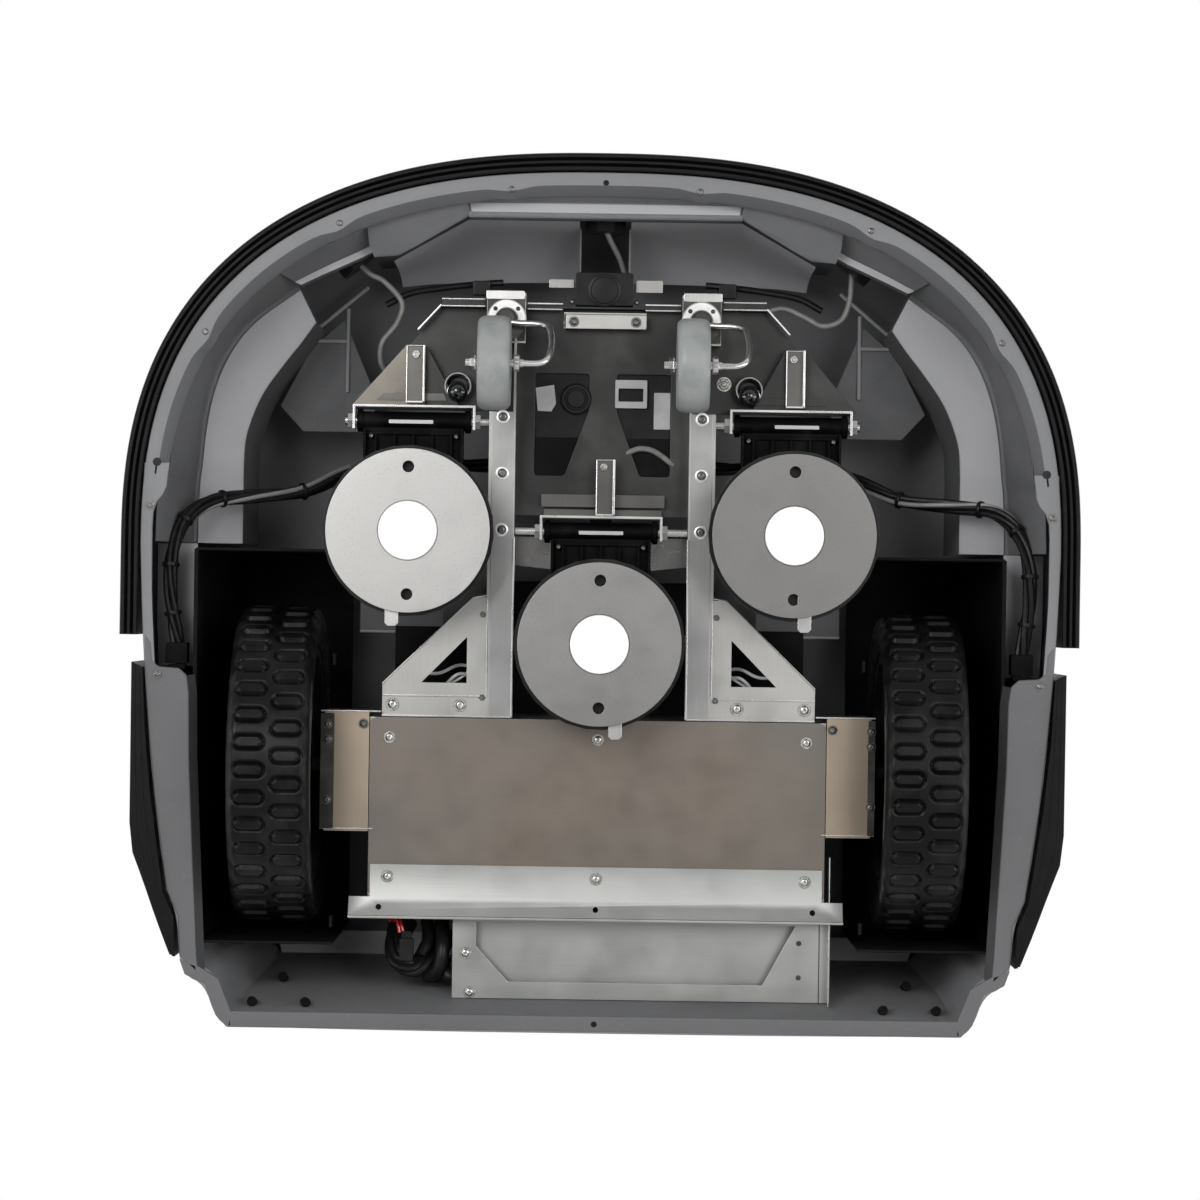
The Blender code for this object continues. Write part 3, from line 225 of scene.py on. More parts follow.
    # Name, colour, roughness, metallic, slot; patches: colour, scale, low, high; roughness: scale, amount.
    zinc, plastic = "stainless_sheet", "black_plastic"
    for key, *look in (("slope", "rim_slope", (0.1, 0.101, 0.105), 0.52, 0, "hood_plastic", (0.085, 0.086, 0.09), 6,
        0.4, 0.72, 30, 0.06), ("pale", "pale_zinc", (0.78, 0.78, 0.77), 0.36, 0.55, zinc, (0.66, 0.66, 0.65), 300,
        0.5, 0.7, 120, 0.06), ("black", "black_plastic", (0.0055, 0.0055, 0.006), 0.38, 0, plastic, [0.012] * 3, 30,
        0.45, 0.7, 60, 0.1), ("rubber", "bumper_rubber", (0.0022, 0.0022, 0.0024), 0.46, 0, "black_rubber",
        (0.004, 0.004, 0.0042), 60, 0.5, 0.75, 40, 0.08), ("dark", "dark_plate", (0.055, 0.054, 0.05), 0.45, 1,
        "black_metal", (0.09, 0.086, 0.078), 40, 0.45, 0.7, 50, 0.1),
        ("metal", "black_metal", (0.006, 0.006, 0.0065), 0.36, 0, "black_metal", [0.012] * 3, 50, 0.5, 0.75, 45, 0.1),
        ("cast", "black_casting", (0.0016, 0.0016, 0.0018), 0.48, 0, "black_casting", [0.008] * 3, 35, 0.5, 0.75, 70,
        0.1), ("zinc", "zinc_screws", (0.62, 0.61, 0.58), 0.26, 1, zinc, (0.42, 0.41, 0.39), 500, 0.5, 0.72, 300,
        0.08), ("grime", "dark_screws", (0.14, 0.137, 0.13), 0.4, 1, zinc, (0.28, 0.27, 0.26), 400, 0.52, 0.72, 300,
        0.1), ("chrome", "chrome", (0.8, 0.8, 0.8), 0.14, 1, zinc, (0.66, 0.66, 0.66), 300, 0.5, 0.7, 120, 0.05),
        ("white", "white_caps", (0.9, 0.9, 0.895), 0.3, 0, None, (0.87, 0.87, 0.86), 25, 0.5, 0.75, 60, 0.06),
        ("label", "blank_labels", (0.4, 0.405, 0.4), 0.48, 0, None, (0.34, 0.345, 0.34), 60, 0.45, 0.7, 80, 0.08),
        ("lead", "grey_leads", (0.2, 0.196, 0.186), 0.38, 0, None, (0.15, 0.146, 0.14), 90, 0.45, 0.7, 90, 0.08),
        ("cable", "black_cables", (0.006, 0.006, 0.0065), 0.38, 0, "black_rubber", [0.013] * 3, 120, 0.5, 0.7, 140,
        0.1), ("red", "red_plastic", (0.52, 0.018, 0.016), 0.24, 0, "red_plastic", (0.44, 0.014, 0.012), 40, 0.45,
        0.7, 80, 0.06), ("yellow", "yellow_ring", (0.72, 0.5, 0.02), 0.34, 0, None, (0.62, 0.42, 0.02), 60, 0.45, 0.7,
        80, 0.06), ("glass", "dark_glass", (0.006, 0.007, 0.008), 0.08, 0, plastic, (0.01, 0.012, 0.013), 30, 0.5,
        0.7, 20, 0.03), ("mesh", "grey_mesh", (0.1, 0.1, 0.102), 0.55, 0, None, (0.03, 0.03, 0.03), 700, 0.45, 0.6,
        80, 0.06)):
        made[key] = plain(*look)
    for key, level in {"black": 0.2, "rubber": 0.16, "metal": 0.3, "cast": 0.06, "cable": 0.2}.items():
        made[key].dim(level)
    for key, weight, roughness in (("white", 0.3, 0.15), ("red", 0.5, 0.08), ("glass", 1.0, 0.04)):
        made[key].coat(weight, roughness)
    for key, scale, depth in (("slope", 900, 0.00008), ("black", 1100, 0.00008), ("rubber", 1200, 0.00008),
        ("dark", 300, 0.00006), ("metal", 600, 0.00006), ("cast", 260, 0.00012), ("lead", 600, 0.0001),
        ("cable", 700, 0.0001), ("mesh", 900, 0.0003)):
        made[key].relief(scale, depth)
    return made


FINISH = make_finishes()


# ---------------------------------------------------------------- mesh tools
def mm(*points):
    """Points given in millimetres, as tuples in metres."""
    return [tuple(v / 1000 for v in point) for point in points]


def towards(at, direction):
    """A place at a point, with its own +Z along direction."""
    return Matrix.Translation(Vector(at)) @ Vector(direction).to_track_quat("Z", "Y").to_matrix().to_4x4()


def on_circle(angle, radius):
    """A point round the origin, at an angle in radians."""
    return radius * math.cos(angle), radius * math.sin(angle)


def arc(radius, end, steps):
    """Points round the origin, from 0 to end in degrees."""
    return [on_circle(math.radians(end * i / steps), radius) for i in range(steps + 1)]


def rounded(corners, radius, steps=4):
    """A closed outline with its corners rounded off by quadratic curves."""
    made = []
    count = len(corners)
    for i in range(count):
        before, corner, after = (Vector(corners[(i + k) % count]) for k in (-1, 0, 1))
        start = corner + (before - corner).normalized() * min(radius, (before - corner).length * 0.48)
        end = corner + (after - corner).normalized() * min(radius, (after - corner).length * 0.48)
        for t in (j / steps for j in range(steps + 1)):
            made.append(tuple(start * (1 - t) ** 2 + corner * 2 * t * (1 - t) + end * t**2))
    return made


def rectangle(x0, y0, x1, y1, radius=0.002, steps=4):
    return rounded([(x0, y0), (x1, y0), (x1, y1), (x0, y1)], radius, steps)


def mirror(points, side):
    """The same points on one side of the machine."""
    return [(side * x, *rest) for x, *rest in points]


def raised(pairs, side):
    """Pairs of a level point and a height, as points on one side of the machine."""
    return [(side * point.x, point.y, height) for point, height in pairs]


def evenly(low, high, count):
    """Evenly spaced numbers, both ends among them."""
    return [low + (high - low) * i / (count - 1) for i in range(count)]


def smooth_line(points, per_span=6):
    """A Catmull-Rom curve through the points."""
    pts = [Vector(p) for p in points]
    pts = [pts[0] * 2 - pts[1], *pts, pts[-1] * 2 - pts[-2]]
    made = []
    for i in range(1, len(pts) - 2):
        p0, p1, p2, p3 = pts[i - 1 : i + 3]
        square, cube = 2 * p0 - 5 * p1 + 4 * p2 - p3, 3 * p1 - p0 - 3 * p2 + p3
        for t in (j / per_span for j in range(per_span)):
            made.append(0.5 * (2 * p1 + (p2 - p0) * t + square * t**2 + cube * t**3))
    return [*made, pts[-2]]


def bridge(part, rows, looped=False, caps=(0, -1)):
    """Quads from ring to ring: round to the first ring again, or with the rings at caps filled."""
    for a, b in zip(rows, [*rows[1:], rows[0]] if looped else rows[1:]):
        for i in range(len(a)):
            j = (i + 1) % len(a)
            part.faces.new((a[i], a[j], b[j], b[i]))
    for cap in () if looped else caps:
        part.faces.new(rows[cap])


def shaded(bm, sharp):
    """Smooth faces, with an edge left sharp where it turns more than sharp degrees."""
    for face in bm.faces:
        face.smooth = True
    for edge in bm.edges:
        edge.smooth = edge.is_manifold and edge.calc_face_angle(0) < math.radians(sharp)


def as_object(bm, name):
    """An object with the mesh, which is given up."""
    mesh = bpy.data.meshes.new(name)
    bm.to_mesh(mesh)
    bm.free()
    obj = bpy.data.objects.new(name, mesh)
    bpy.context.scene.collection.objects.link(obj)
    return obj


def applied(obj):
    """Puts an object's modifiers into its mesh."""
    mesh = bpy.data.meshes.new_from_object(obj.evaluated_get(bpy.context.evaluated_depsgraph_get()))
    obj.modifiers.clear()
    old, obj.data = obj.data, mesh
    name = old.name
    bpy.data.meshes.remove(old)
    mesh.name = name


def settled(obj):
    """Normals that follow the largest faces, so that flat sheets stay flat up to their softened edges."""
    modifier = obj.modifiers.new("normals", "WEIGHTED_NORMAL")
    modifier.mode, modifier.weight, modifier.keep_sharp = "FACE_AREA", 50, True
    applied(obj)


def softened(bm, least_angle, offset, segments=2):
    rim = [e for e in bm.edges if e.is_manifold and e.calc_face_angle(0) > least_angle]
    ways = {"affect": "EDGES", "profile": 0.5, "clamp_overlap": True}
    bmesh.ops.bevel(bm, geom=rim, offset=offset, segments=segments, **ways)


class Shape:
    """A mesh in the making: closed parts are added to it, and it becomes one named piece."""

    def __init__(self):
        self.bm = bmesh.new()

    def take(self, part, place=None):
        """Adds a closed part, moved to its place."""
        bmesh.ops.recalc_face_normals(part, faces=part.faces)
        mesh = bpy.data.meshes.new("part")
        part.to_mesh(mesh)
        part.free()
        if place is not None:
            mesh.transform(place)
        self.bm.from_mesh(mesh)
        bpy.data.meshes.remove(mesh)
        return self

    def plate(self, outline, low, high, holes=(), place=None, bevel=0.0004, segments=2):
        """A flat shape from one height to another, with holes and softened edges."""
        part = bmesh.new()
        edges = []
        for loop in (outline, *holes):
            verts = [part.verts.new((p[0], p[1], low)) for p in loop]
            edges += [part.edges.new((a, b)) for a, b in zip(verts, [*verts[1:], verts[0]])]
        if holes:
            bmesh.ops.triangle_fill(part, use_beauty=True, edges=edges)
        else:
            part.faces.new(part.verts)
        grown = bmesh.ops.extrude_face_region(part, geom=list(part.faces))["geom"]
        moved = [g for g in grown if isinstance(g, bmesh.types.BMVert)]
        bmesh.ops.translate(part, verts=moved, vec=(0, 0, high - low))
        bmesh.ops.recalc_face_normals(part, faces=part.faces)
        if bevel:
            softened(part, 0.6, bevel, segments)
        return self.take(part, place)

    def sheet(self, x0, y0, x1, y1, low, high, radius=0.001, bevel=0.0004, steps=4):
        """A level rectangle with rounded corners."""
        return self.plate(rectangle(x0, y0, x1, y1, radius, steps), low, high, bevel=bevel)

    def box(self, low, high, bevel=0.0005, place=None):
        low, high = (Vector(map(f, low, high)) for f in (min, max))
        outline = [(low.x, low.y), (high.x, low.y), (high.x, high.y), (low.x, high.y)]
        return self.plate(outline, low.z, high.z, (), place, bevel)

    def boxes(self, side, *rows):
        """Boxes on one side of the machine: both corners and the softening, in millimetres."""
        for *corners, bevel in mm(*rows):
            low, high = mirror((corners[:3], corners[3:]), side)
            self.box(low, high, bevel)
        return self

    def turned(self, profile, place=None, segments=32, closed=False):
        """A profile of (radius, height) turned about Z. A radius of 0 ends in a point."""
        part = bmesh.new()
        rows = []
        for radius, height in profile:
            count = 1 if radius < 1e-7 else segments
            rows.append([part.verts.new((*on_circle(math.tau * i / count, radius), height)) for i in range(count)])
        for a, b in zip(rows, [*rows[1:], rows[0]] if closed else rows[1:]):
            for i in range(segments):
                j = (i + 1) % segments
                corners = dict.fromkeys((a[i % len(a)], a[j % len(a)], b[j % len(b)], b[i % len(b)]))
                if len(corners) > 2:
                    part.faces.new(list(corners))
        for ring in () if closed else (rows[0], rows[-1]):
            if len(ring) > 1:
                part.faces.new(ring)
        return self.take(part, place)

    def tube(self, points, radius, sides=10, smooth=0):
        """A round bar or cable along points, closed at both ends."""
        line = smooth_line(points, smooth) if smooth else [Vector(p) for p in points]
        part = bmesh.new()
        rows = []
        before = (line[1] - line[0]).normalized()
        side = before.orthogonal().normalized()
        for i, point in enumerate(line):
            ahead = (line[min(i + 1, len(line) - 1)] - line[max(i - 1, 0)]).normalized()
            side = (before.rotation_difference(ahead) @ side).normalized()
            before = ahead
            other = ahead.cross(side)
            turns = [on_circle(math.tau * k / sides, 1) for k in range(sides)]
            rows.append([part.verts.new(point + (side * c + other * s) * radius) for c, s in turns])
        bridge(part, rows)
        return self.take(part)

    def swept(self, path, profile):
        """A closed profile of (offset, height) carried along a level path, offset to its right hand."""
        part = bmesh.new()
        rows = []
        for i, point in enumerate(path):
            along = (Vector(path[min(i + 1, len(path) - 1)]) - Vector(path[max(i - 1, 0)])).normalized()
            rows.append([part.verts.new((point[0] + along.y * d, point[1] - along.x * d, z)) for d, z in profile])
        bridge(part, rows)
        return self.take(part)

    def panel(self, corners, thickness=0.002):
        """A flat or bent sheet through the corners of one or more rows of points, thickened."""
        part = bmesh.new()
        rows = [[part.verts.new(p) for p in row] for row in corners]
        for a, b in zip(rows, rows[1:]):
            for i in range(len(a) - 1):
                part.faces.new((a[i], a[i + 1], b[i + 1], b[i]))
        bmesh.ops.solidify(part, geom=list(part.faces), thickness=thickness)
        return self.take(part)

    def screw(self, at, direction=DOWN, radius=0.0042, washer=0.0, height=0.0024):
        """A domed screw head with a socket, on a washer if it has one."""
        place = towards(at, direction)
        base = 0.0009 if washer else 0.0
        if washer:
            ring = [(0, -0.0002), (washer, -0.0002), (washer, 0.0007), (washer - 0.0003, 0.001), (0, 0.001)]
            self.turned(ring, place, 24)
        rise = ((0.25, 1), (0.62, 0.93), (0.92, 0.72), (1, 0.5), (0.35, 0.45), (0.3, 0))
        head = [(radius * r, base + height * z) for z, r in rise]
        return self.turned([(0, base - 0.0004), (radius, base - 0.0004), *head], place, 18)

    def nut(self, at, direction=DOWN, radius=0.0065, height=0.005, stud=0.004, washer=0.0):
        """A hexagon nut with its stud end standing out of it."""
        place = towards(at, direction)
        base = 0.0008 if washer else 0.0
        if washer:
            self.turned([(0, -0.0002), (washer, -0.0002), (washer, 0.0009), (0, 0.0009)], place, 24)
        rise = ((0, 0), (0, 0.94), (0.15, 1), (0.85, 1), (1, 0.9), (1, 0))
        self.turned([(radius * r, base + height * z) for z, r in rise], place, 6)
        end, thin = base + height, radius * 0.52
        top = [(thin, end + stud * 0.8), (thin * 0.8, end + stud), (0, end + stud)]
        return self.turned([(0, end - 0.001), (thin, end - 0.001), *top], place, 14)

    def piece(self, name, finish, body="chassis", replaces=(), sharp=34.0):
        """Becomes a named piece that rides on a body."""
        shaded(self.bm, sharp)
        obj = as_object(self.bm, name)
        look = FINISH[finish]
        obj.data.materials.append(look.material)
        settled(obj)
        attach(obj, body)
        if replaces:
            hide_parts(*replaces)
        return obj


def refined(node, finish, bevel=0.0005, merge=True):
    """The CAD solid itself with softened edges, in place of its node."""
    shape = Shape()
    shape.bm.from_mesh(frame["nodes"][node].data)
    parts = {"verts": shape.bm.verts, "edges": shape.bm.edges}
    bmesh.ops.remove_doubles(shape.bm, verts=shape.bm.verts, dist=1e-6)
    if merge:
        bmesh.ops.dissolve_limit(shape.bm, angle_limit=math.radians(0.5), **parts)
    softened(shape.bm, math.radians(32), bevel)
    shape.piece(f"{node}_fine", finish, NODE_BODY[node], [node], 32)


def carved(obj, shapes):
    """Cuts closed shapes out of a piece, which keeps its place and its name."""
    cutters = [as_object(shape.bm, "cutter") for shape in shapes]
    for cutter in cutters:
        modifier = obj.modifiers.new("cut", "BOOLEAN")
        modifier.operation, modifier.solver, modifier.object = "DIFFERENCE", "EXACT", cutter
    applied(obj)
    for cutter in cutters:
        bpy.data.objects.remove(cutter)
    bm = bmesh.new()
    bm.from_mesh(obj.data)
    shaded(bm, 34)
    bm.to_mesh(obj.data)
    bm.free()
    settled(obj)


# ---------------------------------------------------------------- hood
HOOD_RINGS = [  # height, and scale sideways, to the front and to the rear
    (0.186, 0.985, 0.983, 0.992),
    (0.33, 0.95, 0.86, 0.976),
    (0.385, 0.875, 0.72, 0.955),
    (0.414, 0.68, 0.51, 0.89),
    (0.428, 0.45, 0.28, 0.7),
]
SIDE_AND_REAR = mm((477.5, 50), (470, 150), (463, 220), (449, 318), (437, 345), (434.5, 387))
SIDE_AND_REAR += mm((428.5, 407), (407, 417), (396, 449), (384, 460))
SONAR_Z = 0.205
SONARS = {"left": (Vector((-0.2915, -0.38, SONAR_Z)), Vector((-0.651, -0.759, 0)).normalized()),
    "right": (Vector((0.2915, -0.38, SONAR_Z)), Vector((0.651, -0.759, 0)).normalized()),
    "center": (Vector((0, -0.43, SONAR_Z)), Vector((0, -1, 0)))}


def front_curve(inset=0.0, turns=96, last_y=WIDEST_Y):
    """The rounded front of the rim, from the -X side round to the +X side."""
    half, depth, power = RIM_HALF_WIDTH - inset, RIM_FRONT_DEPTH - inset, 2 / 2.5
    made = []
    for angle in (math.pi * i / turns for i in range(turns + 1)):
        x = -math.copysign(abs(math.cos(angle)) ** power, math.cos(angle)) * half
        made.append((x, WIDEST_Y - depth * math.sin(angle) ** power))
    return [p for p in made if p[1] <= last_y + 1e-9]


def cut_corners(points, times=2):
    """Chaikin's corner cutting on an open line, with its ends kept."""
    for _ in range(times):
        made = [points[0]]
        for a, b in zip(points, points[1:]):
            made.append((a[0] * 0.75 + b[0] * 0.25, a[1] * 0.75 + b[1] * 0.25))
            made.append((a[0] * 0.25 + b[0] * 0.75, a[1] * 0.25 + b[1] * 0.75))
        points = [*made, points[-1]]
    return points


def rim_curve():
    """The whole closed curve of the rim."""
    right = cut_corners([(RIM_HALF_WIDTH, WIDEST_Y), *SIDE_AND_REAR, (0.19, REAR_Y), (0.0, REAR_Y)])
    left = [(-x, y) for x, y in reversed(right)]
    return [*front_curve(), *right[1:], *left[1:-1]]


def hood_ring(z, sideways, forward, rearward):
    """The rim's curve at a height, scaled from the widest line outwards."""
    scale = [(x, y - WIDEST_Y, forward if y < WIDEST_Y else rearward) for x, y in rim_curve()]
    return [Vector((x * sideways, WIDEST_Y + y * along, z)) for x, y, along in scale]


def build_hood():
    """The shell: a skin through rings of the rim's curve, thickened and with its openings cut out."""
    shrink, rear_depth = 0.011, 0.5055
    inside = [1 - shrink / size for size in (RIM_HALF_WIDTH, RIM_FRONT_DEPTH, rear_depth)]
    levels = [(RIM_Z, *inside), (RIM_Z, 0.9965, 0.996, 0.997), (RIM_Z + 0.0006, 0.999, 0.999, 0.999)]
    levels += [(RIM_Z + 0.0018, 1, 1, 1), (0.1, 1, 1, 1), (0.17, 1, 1, 1), (0.1716, 0.997, 0.996, 0.998)]
    levels += [(0.1846, 0.986, 0.984, 0.9925), *smooth_line(HOOD_RINGS, 5)]
    bm = bmesh.new()
    bridge(bm, [[bm.verts.new(p) for p in hood_ring(*level)] for level in levels], caps=(-1,))
    bmesh.ops.recalc_face_normals(bm, faces=bm.faces)
    skin = as_object(bm, "hood_skin")
    wall = skin.modifiers.new("wall", "SOLIDIFY")
    wall.thickness, wall.offset, wall.use_even_offset = 0.0035, -1, True
    applied(skin)
    shape = Shape()
    shape.bm.from_mesh(skin.data)
    bpy.data.objects.remove(skin)
    hood = shape.piece("hood_shell", "hood", replaces=["body_shell"])
    bore = [(0, 0.38), (0.0175, 0.38), (0.0175, 0.46), (0, 0.46)]
    cuts = [Shape().box((-0.118, 0.0, 0.4), (0.118, 0.215, 0.46), 0)]
    cuts.append(Shape().turned(bore, Matrix.Translation((*STOP_BUTTON, 0))))
    for face, look in SONARS.values():
        cuts.append(Shape().turned([(0, -0.035), (0.021, -0.035), (0.021, 0.03), (0, 0.03)], towards(face, look)))
    carved(hood, cuts)
    return hood


def build_outside(hood):
    """What the hood carries outside, all of it laid on its curved skin: seams, vents, lamps, contacts and screws."""
    skin = BVHTree.FromObject(hood, bpy.context.evaluated_depsgraph_get())

    def on_skin(start, direction, lift=0.0):
        at, normal, _, _ = skin.ray_cast(Vector(start), Vector(direction))
        return at + normal * lift, normal

    def line(shape, starts, direction, radius, sides=8):
        shape.tube([on_skin(start, direction)[0] for start in starts], radius, sides)

    def sheet(shape, rows, direction, lift, thickness):
        shape.panel([[on_skin(start, direction, lift)[0] for start in row] for row in rows], thickness)

    def across(x0, x1, count, z0, z1, levels, y=0.7):
        return [[(x, y, z) for x in evenly(x0, x1, count)] for z in evenly(z0, z1, levels)]

    above, up_there, to_front = (0, 0, -1), 0.6, (0, -1, 0)
    seams = Shape()
    panel = rounded([(-0.2, -0.215), (0.2, -0.215), (0.235, 0.385), (-0.235, 0.385)], 0.07, 10)
    loop = []
    for a, b in zip(panel, [*panel[1:], panel[0]]):
        count = max(int((Vector(b) - Vector(a)).length / 0.012), 1)
        loop += [Vector(a).lerp(Vector(b), i / count) for i in range(count)]
    line(seams, [(p[0], p[1], up_there) for p in [*loop, loop[0]]], above, 0.0013)
    skirt = hood_ring(*HOOD_RINGS[0])
    seams.tube([*skirt, skirt[0]], 0.0012, 8)
    seams.piece("hood_seams", "dark")

    vents, slats, bases, contacts, lamps, strip, screws = (Shape() for _ in range(7))
    for side in SIDES.values():
        beside, out = (-side, 0, 0), side * 0.7
        grid = [[(out, y, z) for y in evenly(-0.045, 0.115, 14)] for z in evenly(0.236, 0.306, 8)]
        sheet(vents, grid, beside, 0.001, 0.0016)
        for z in evenly(0.242, 0.3, 6):
            line(slats, [(out, y, z) for y in evenly(-0.04, 0.11, 14)], beside, 0.0034, 10)
        rim = mm((-48, 233), (118, 233), (118, 309), (-48, 309), (-48, 233))
        for (y0, z0), (y1, z1) in zip(rim, rim[1:]):
            line(slats, [(out, y0 + (y1 - y0) * t, z0 + (z1 - z0) * t) for t in evenly(0, 1, 12)], beside, 0.003, 10)
        for y in (-0.1, 0.0, 0.12, 0.24):
            screws.screw(*on_skin((out, y, 0.176), beside), radius=0.0045, washer=0.0068)
        for x, y in mm((165, -190), (212, 60), (222, 345)):
            screws.screw(*on_skin((side * x, y, up_there), above), radius=0.0048, washer=0.0072)
        sheet(lamps, across(side * 0.255, side * 0.335, 8, 0.268, 0.292, 4), to_front, 0.0012, 0.002)
        sheet(contacts, across(side * 0.022, side * 0.058, 6, 0.228, 0.246, 3), to_front, 0.0024, 0.0018)
    sheet(bases, across(-0.08, 0.08, 12, 0.216, 0.258, 5), to_front, 0.0012, 0.0018)
    sheet(strip, across(-0.17, 0.17, 30, 0.262, 0.276, 3, -0.8), (0, 1, 0), 0.001, 0.0016)
    vents.piece("side_vent_recesses", "well")
    slats.piece("side_vent_slats", "black")
    bases.piece("charging_base", "black")
    contacts.piece("charging_contacts", "bright")
    lamps.piece("rear_lamps", "red")
    strip.piece("front_light_strip", "white")
    screws.piece("hood_screws", "metal")


def bulged(inset, bosses, depth, spread):
    """The front curve at an inset that grows round each boss."""
    made = []
    for x, y in front_curve(inset, 150, -0.106):
        grow = sum(depth * math.exp(-(((abs(x) - bx) ** 2 + (y - by) ** 2) / spread**2)) for bx, by in bosses)
        out = Vector((x / RIM_HALF_WIDTH**2, (y - WIDEST_Y) / RIM_FRONT_DEPTH**2)).normalized()
        made.append((x - out.x * grow, y - out.y * grow))
    return made


def build_rim():
    """The inward flanges along the rim, their sloping inner band, their bosses and their screws."""
    low, high = RIM_Z + 0.0002, RIM_Z + 0.0034
    hind_low = RIM_Z - 0.0007
    bosses = mm((99, -413), (279, -373), (414, -258))
    shape, slope, hind = Shape(), Shape(), Shape()
    for target, band in (  # rows of inset, height, and depth of the bosses
        (shape, ((0.0015, low, 0.0), (0.0128, low, 0.0055), (0.0138, low + 0.0005, 0.0055))),
        (slope, ((0.0136, low + 0.0004, 0.0055), (0.023, low + 0.0085, 0.003), (0.025, low + 0.0125, 0.0))),
    ):
        part = bmesh.new()
        lines = [[part.verts.new((x, y, z)) for x, y in bulged(i, bosses, d, 0.016)] for i, z, d in band]
        count = min(len(line) for line in lines)
        for first, second in zip(lines, lines[1:]):
            start_a, start_b = (len(first) - count) // 2, (len(second) - count) // 2
            for i in range(count - 1):
                near, far = first[i + start_a : i + start_a + 2], second[i + start_b : i + start_b + 2]
                part.faces.new((*near, *reversed(far)))
        bmesh.ops.delete(part, geom=[v for v in part.verts if not v.link_faces], context="VERTS")
        bmesh.ops.recalc_face_normals(part, faces=part.faces)
        if sum(f.normal.z for f in part.faces) > 0:
            bmesh.ops.reverse_faces(part, faces=part.faces)
        bmesh.ops.solidify(part, geom=list(part.faces), thickness=0.0024)
        target.take(part)
    # The sloping band is a darker copy of the hood plastic: painted shade on the slope.
    slope.piece("rim_slope", "slope")
    for side in SIDES.values():
        rim = [(x - 0.0006, y) for x, y in SIDE_AND_REAR if 0.1 < y < 0.4]
        inner = mm((414, 407), (416.5, 378), (426.2, 180), (427.5, 112), (430, 94))
        inner += mm((438, 86.5), (460, 85), (466, 79), (467.8, 60))
        corners = [(0.4755, 0.05), (0.4745, 0.092), *rim, *inner]
        hind.plate(mirror(corners, side), hind_low, high, bevel=0.0026, segments=4)
        front = mm((478, -128), (479.7, -60), (479.7, -20), (476.2, 52), (467.8, 60), (468.4, -60))
        front += mm((467.6, -76), (464, -87), (458, -94), (454, -103), (452.8, -116), (451, -128))
        shape.plate(mirror(front, side), low, high, bevel=0.0014, segments=3)
        foot = [(side * x, y, low + 0.0018) for x, y in inner[:5]]
        hind.panel([foot, [(side * (x - 0.007), y - 0.001, low + 0.012) for x, y in inner[:5]]], 0.002)
        corner = mm((433.8, 390), (428, 406.2), (406.6, 416.3), (395.2, 448.2), (383.4, 460.4))
        corner += mm((378, 460.4), (379, 444), (392.5, 410), (415, 396.5))
        hind.plate(mirror(corner, side), hind_low, high, bevel=0.0014)
    rear = mm((-380, 443.5), (380, 443.5), (383.8, 460.6), (-383.8, 460.6))
    hind.plate(rear, hind_low, high, bevel=0.0022, segments=3)
    shape.piece("rim_flange", "hood")
    # The rear and side flanges are painted darker than the front one: painted shade.
    hind.piece("rim_flange_rear", "rim_rear_shaded")

    screws, holes = Shape(), Shape()
    for side in SIDES.values():
        for x, y in mm((98.5, -418.5), (277.5, -380.5), (416, -265)):
            screws.screw((side * x, y, low), radius=0.0034, height=0.0012)
        for x, y, z in ((0.4712, -0.083, low), (0.461, 0.093, hind_low)):
            screws.screw((side * x, y, z), radius=0.0032, washer=0.0046, height=0.0012)
        plug = mm((0, -0.6), (4.4, -0.6), (4.4, 0.5), (0, 0.5))
        holes.turned(plug, towards((side * 0.4645, -0.1285, low), DOWN), 24)
    for x, y, z in ((0.0, -0.4265, low), (0.0, 0.452, hind_low)):
        holes.turned(mm((0, -0.1), (3, -0.1), (3, 0.5), (0, 0.5)), towards((x, y, z), DOWN), 18)
    screws.piece("rim_screws", "grime")
    holes.piece("rim_hole_plugs", "black")


